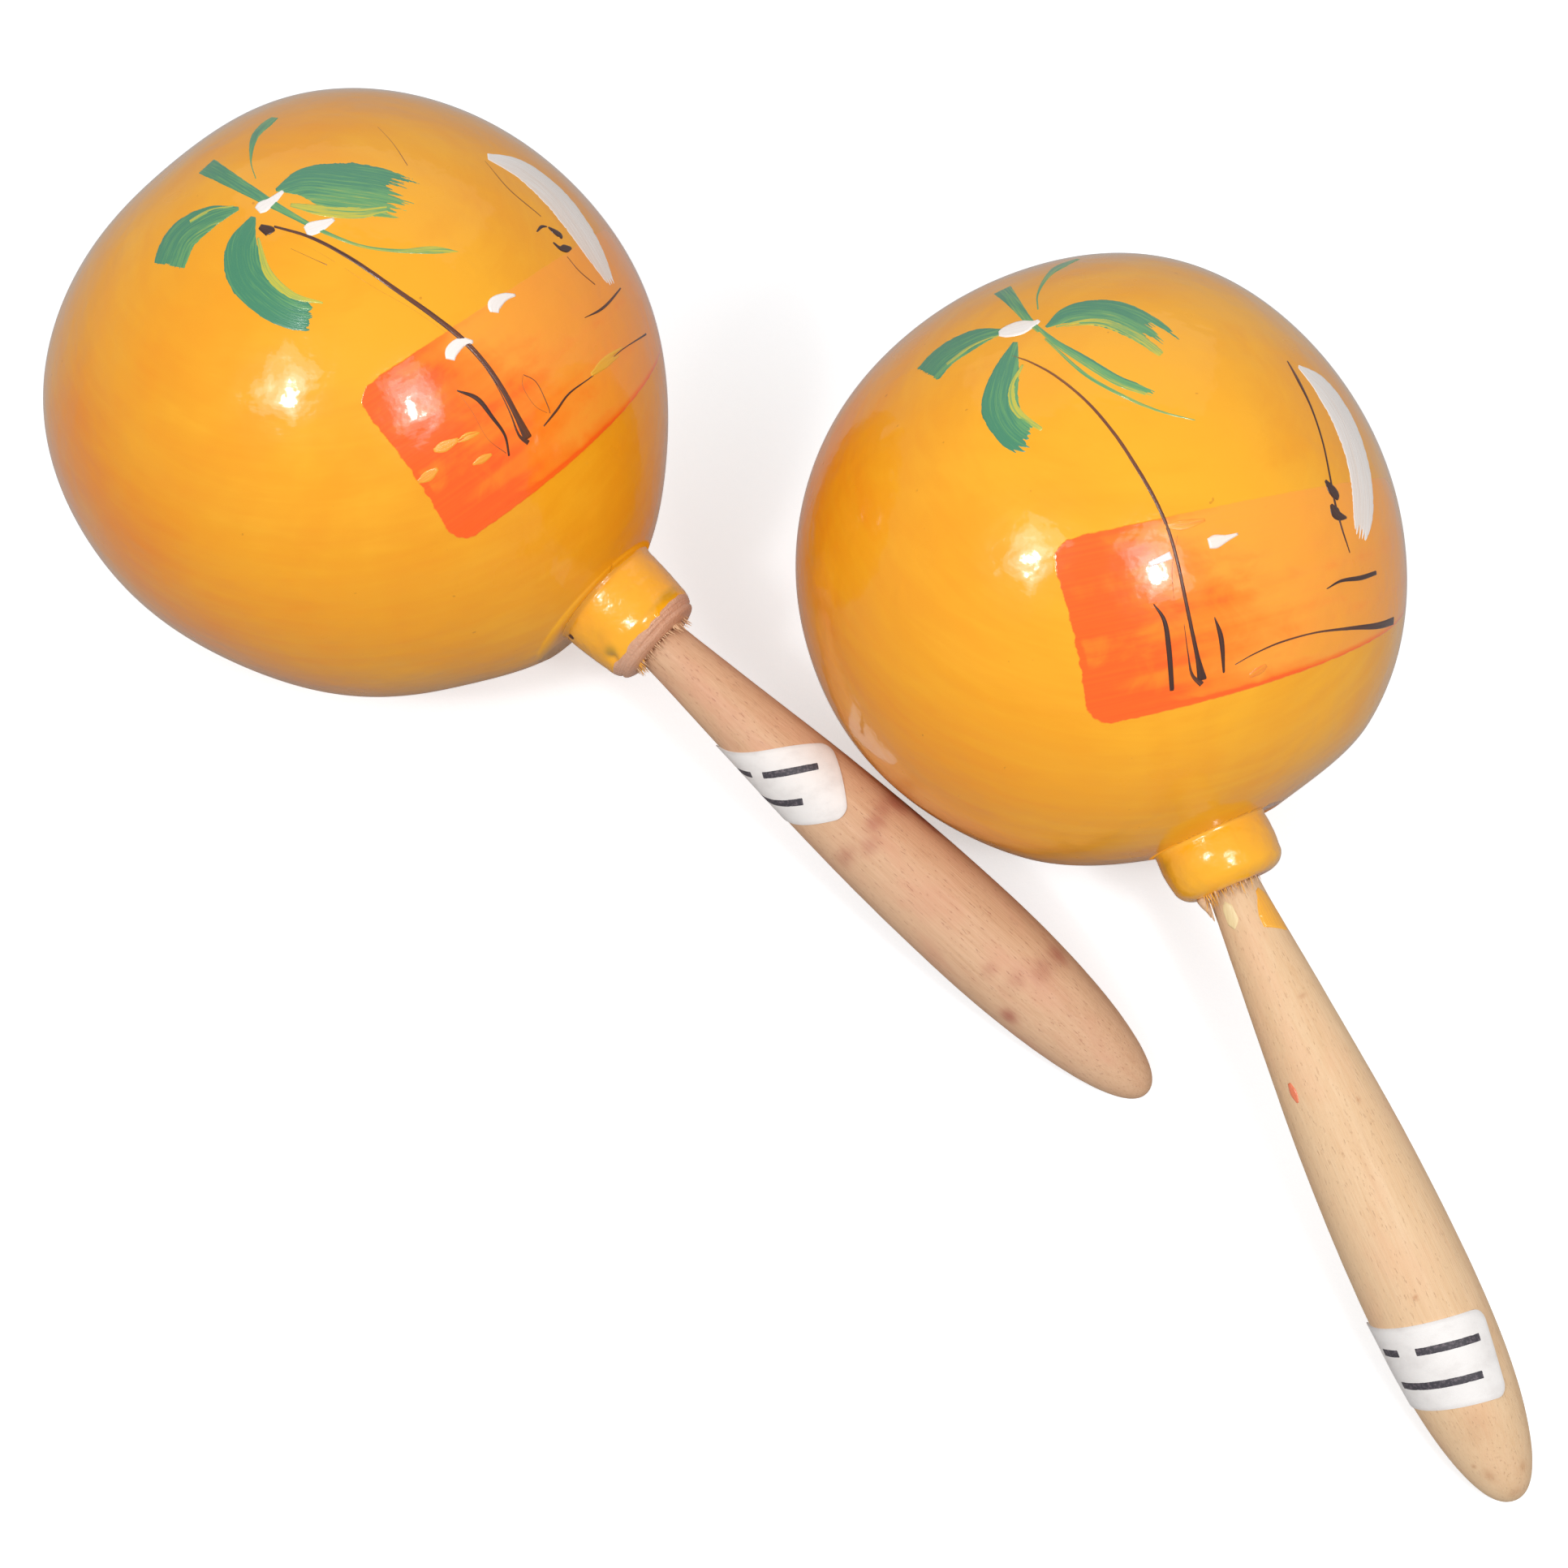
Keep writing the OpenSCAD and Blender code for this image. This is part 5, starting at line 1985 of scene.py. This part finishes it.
def right_maraca(neighbour: Lie) -> Maraca:
    """The right maraca, with a round gourd, a short collar and a cream handle.

    Args:
        neighbour: Where the left maraca lies, whose handle this gourd leans over.

    Returns:
        The maraca.
    """
    offset, collar_len, belly_at, tip_len = -1.6, 11.0, 81.0, 42.0
    mouth_x = 57.996
    belly_x = mouth_x + collar_len + belly_at
    lie = Lie.of(Side.RIGHT, belly_x - GRIP_BACK, offset)
    down = lie.own(np.array([0.0, 0.0, -1.0]))
    handle_line = neighbour.out(np.array([0.0, LEFT_OFFSET, 0.0]))
    gap = lie.middle - handle_line
    beside = handle_line + neighbour.axes[0] * (gap @ neighbour.axes[0])
    to_handle = unit(lie.own(beside - lie.middle))
    gourd = Gourd(
        Side.RIGHT, lie, radius=59.0, pear=0.01, flat=0.015, offset=offset, mouth_r=11.7,
        face=(0.193, -0.345, 0.919), face_right=(0.418, 0.876, 0.241),
        sea=Sea((-3.6, -13.2), 12.5, 17.2, 84.0),
        strokes={
            Paint.LEAF: RIGHT_LEAVES, Paint.TRUNK: RIGHT_LINES, Paint.WHITE: RIGHT_WHITES,
            Paint.SEA: RIGHT_SPRAY,
        },
        lumps=outline(
            30, (10, -0.10), (45, -0.85), (78, 1.40), (120, -0.85), (160, -0.54), (215, -0.27), (270, 0.70),
            (330, 2.40),
        ),
        # Painted shade near the edge of the painted face at its left and lower left, and painted light above
        # its middle at a negative height.
        deep=(Lump(175, 66, 0.45, 26), Lump(230, 72, 0.5, 24), Lump(70, 30, -0.25, 40)),
        quiet=((*down, 24.0), (*to_handle, 26.0)),
    )
    collar = Collar(
        Side.RIGHT, lie, offset, mouth_x, base_r=11.2, end_r=10.7, length=collar_len, rim_r=7.0,
        bare_from=-1.4,
        drips=(
            Drip(-6.5, 55, 0.4, 3.0, 26), Drip(-6.0, 10, 0.35, 3.0, 40), Drip(-0.8, 96, -0.6, 4.0, 40),
            Drip(-3.0, -40, 0.25, 3.0, 40),
        ),
        pools=(Drip(-8.5, 80, 0.5, 2.5, 20),),
    )
    handle = Handle(
        Side.RIGHT, lie, offset, mouth_x + collar_len, 5.1, 10.9, belly_at, tip_len, mouth_x - TENON_IN,
        stains_and_shade=(
            StainAndShade(107, 29, 0.35, 4, 4), StainAndShade(116.2, 40, 0.4, 1.6, 1.6), StainAndShade(117, -20, 0.45, 1.4, 1.2),
            StainAndShade(121, 10, 0.35, 1.2, 2),
            StainAndShade(45.5, -9, 0.6, 0.7, 0.5), StainAndShade(24.1, -6, 0.45, 0.6, 1.2), StainAndShade(81.8, 26, 0.8, 0.5, 0.6),
            StainAndShade(53, 5, 0.22, 6, 0.5),
            StainAndShade(65, 30, 0.2, 9, 0.5), StainAndShade(78, 44, 0.18, 6, 0.6), StainAndShade(30, 60, 0.12, 20, 3),
            StainAndShade(58, 16, 0.30, 16, 0.4), StainAndShade(72, 12, 0.25, 10, 0.5), StainAndShade(113.7, 55, 0.6, 0.5, 0.6),
        ),
    )
    label = Label(
        handle, 94.0, -8.0, 52.0, ((-12.5, -3.2, 12.5), (3.2, -3.2, 5.0), (-11.0, 3.2, 17.5)),
        (0.15, 0.3, 0.12, 0.2),
    )
    fringes = (
        Fringe(12, 84, 46, 2.3, 6.0, 7.2, 0.24, 0.35, 0.55, 13.0),
        Fringe(56, 26, 18, 3.0, 6.6, 8.4, 0.30, 0.7, 0.7, 17.0),
        Fringe(82, 14, 5, 6.2, 6.6, 7.4, 2.3, 0.12, 0.0, 19.0),
        Fringe(180, 160, 20, 1.6, 6.0, 7.0, 0.24, 0.3, 0.5, 23.0),
    )
    around = handle.belly_r * math.pi / 180
    spots = {
        Paint.SEA: (
            Stroke((
                (2.4, -27 * around, 2.5), (4.6, -30 * around, 8.0), (7.2, -31 * around, 11.0),
                (9.2, -29.5 * around, 11.0), (10.8, -27.5 * around, 10.5),
            ), seed=31, tone=0.55, depth=0.08, ragged=0.16),
            Stroke((
                (38.0, 62 * around, 0.9), (40.0, 61 * around, 2.0), (41.9, 60 * around, 0.6),
            ), seed=32, tone=0.0, depth=0.04),
        ),
        Paint.WHITE: (
            Stroke((
                (2.6, 44 * around, 2.6), (4.8, 50 * around, 5.6), (7.2, 58 * around, 2.4),
            ), seed=33, tone=0.6, depth=0.04),
        ),
    }
    return Maraca(Side.RIGHT, gourd, collar, handle, label, fringes, spots)


# ---- The studio ----


@dataclass(frozen=True)
class Studio:
    """A plain pale floor, soft light all round, soft boxes and the camera.

    Each box has its place in metres, its width, its height and its power in watts.
    """

    eye: tuple[float, float, float] = (0.0047, -0.2136, 0.434)
    tip: float = 28.0
    lens: float = 52.17
    sensor: float = 36.0
    aim: tuple[float, float, float] = (0.0, 0.0, 0.05)
    floor_size: float = 3.0
    sky: float = 0.51
    floor_colour: Colour = (0.80, 0.83, 0.86)
    floor_glow: float = 0.48
    boxes: tuple[tuple[tuple[float, float, float], float, float, float], ...] = (
        ((-0.216, -0.238, 0.490), 0.050, 0.050, 0.40),
        ((-0.214, -0.228, 0.495), 0.080, 0.110, 0.110),
        ((-0.214, -0.220, 0.497), 0.120, 0.170, 0.260),
        ((-0.214, -0.215, 0.500), 0.170, 0.240, 0.330),
        ((0.164, -0.243, 0.420), 0.042, 0.046, 0.31),
        ((0.164, -0.232, 0.425), 0.070, 0.100, 0.075),
        ((0.164, -0.225, 0.428), 0.105, 0.150, 0.190),
        ((0.164, -0.220, 0.430), 0.145, 0.210, 0.260),
        ((0.000, 0.900, 0.900), 1.600, 0.900, 1.7),
    )

    def floor(self) -> None:
        """A faintly glowing sheet that the camera sees, and under it the table that the light sees."""
        half = self.floor_size / 2
        corners = ((-half, -half), (half, -half), (half, half), (-half, half))
        sheets = (("pale_floor", -0.0002, self.floor_glow, True), ("pale_table", -0.0004, 0.0, False))
        for name, low, glow, seen in sheets:
            mesh = bpy.data.meshes.new(name)
            mesh.from_pydata([(x, y, low) for x, y in corners], [], [(0, 1, 2, 3)])
            floor = bpy.data.objects.new(name, mesh)
            bpy.context.scene.collection.objects.link(floor)
            board = Board(f"{name}_paper")
            tooth = board.noise(board.place(), 700.0, 3.0, 0.6)
            mesh.materials.append(board.shade(
                base_color=self.floor_colour, roughness=0.85, normal=board.bump(tooth, 0.00004),
                emission_color=(1.0, 1.0, 1.0), emission_strength=glow, specular_ior_level=0.2,
            ))
            floor.visible_camera = seen
            floor.visible_diffuse = floor.visible_glossy = not seen

    def light(self) -> None:
        """An even sky and soft boxes aimed at the pair."""
        world = bpy.data.worlds.new("soft_sky")
        world.use_nodes = True
        back = world.node_tree.nodes["Background"]
        back.inputs["Color"].default_value = (1.0, 1.0, 1.0, 1.0)
        back.inputs["Strength"].default_value = self.sky
        bpy.context.scene.world = world
        bpy.context.scene.view_settings.view_transform = "Standard"
        for k, (place, wide, high, power) in enumerate(self.boxes):
            lamp = bpy.data.lights.new(f"soft_box_{k + 1}", "AREA")
            lamp.shape, lamp.size, lamp.size_y, lamp.energy = "RECTANGLE", wide, high, power
            box = bpy.data.objects.new(lamp.name, lamp)
            bpy.context.scene.collection.objects.link(box)
            x, y, z = np.array(self.aim) - np.array(place)
            box.location = place
            box.rotation_euler = (math.atan2(math.hypot(x, y), -z), 0.0, math.atan2(-x, y))
            box.visible_camera = False

    def camera(self) -> None:
        """The camera, tipped up by its tip from looking straight down."""
        eye = bpy.data.cameras.new("camera")
        eye.lens, eye.sensor_width = self.lens, self.sensor
        eye.clip_start = 0.01
        camera = bpy.data.objects.new("camera", eye)
        camera.location = self.eye
        camera.rotation_euler = (math.radians(self.tip), 0.0, 0.0)
        bpy.context.scene.collection.objects.link(camera)
        bpy.context.scene.camera = camera

    def build(self) -> None:
        """Sets up floor, lights and camera."""
        self.floor()
        self.light()
        self.camera()
        log.info("studio: floor, sky, %d soft boxes and camera", len(self.boxes))


def main() -> None:
    """Builds both maracas and the studio."""
    logging.basicConfig(level=logging.INFO, format="%(message)s", stream=sys.stdout)
    looks = Looks()
    left = left_maraca()
    right = right_maraca(left.gourd.lie)
    for maraca in (left, right):
        maraca.build(looks)
    Studio().build()


if __name__ == "__main__":
    main()
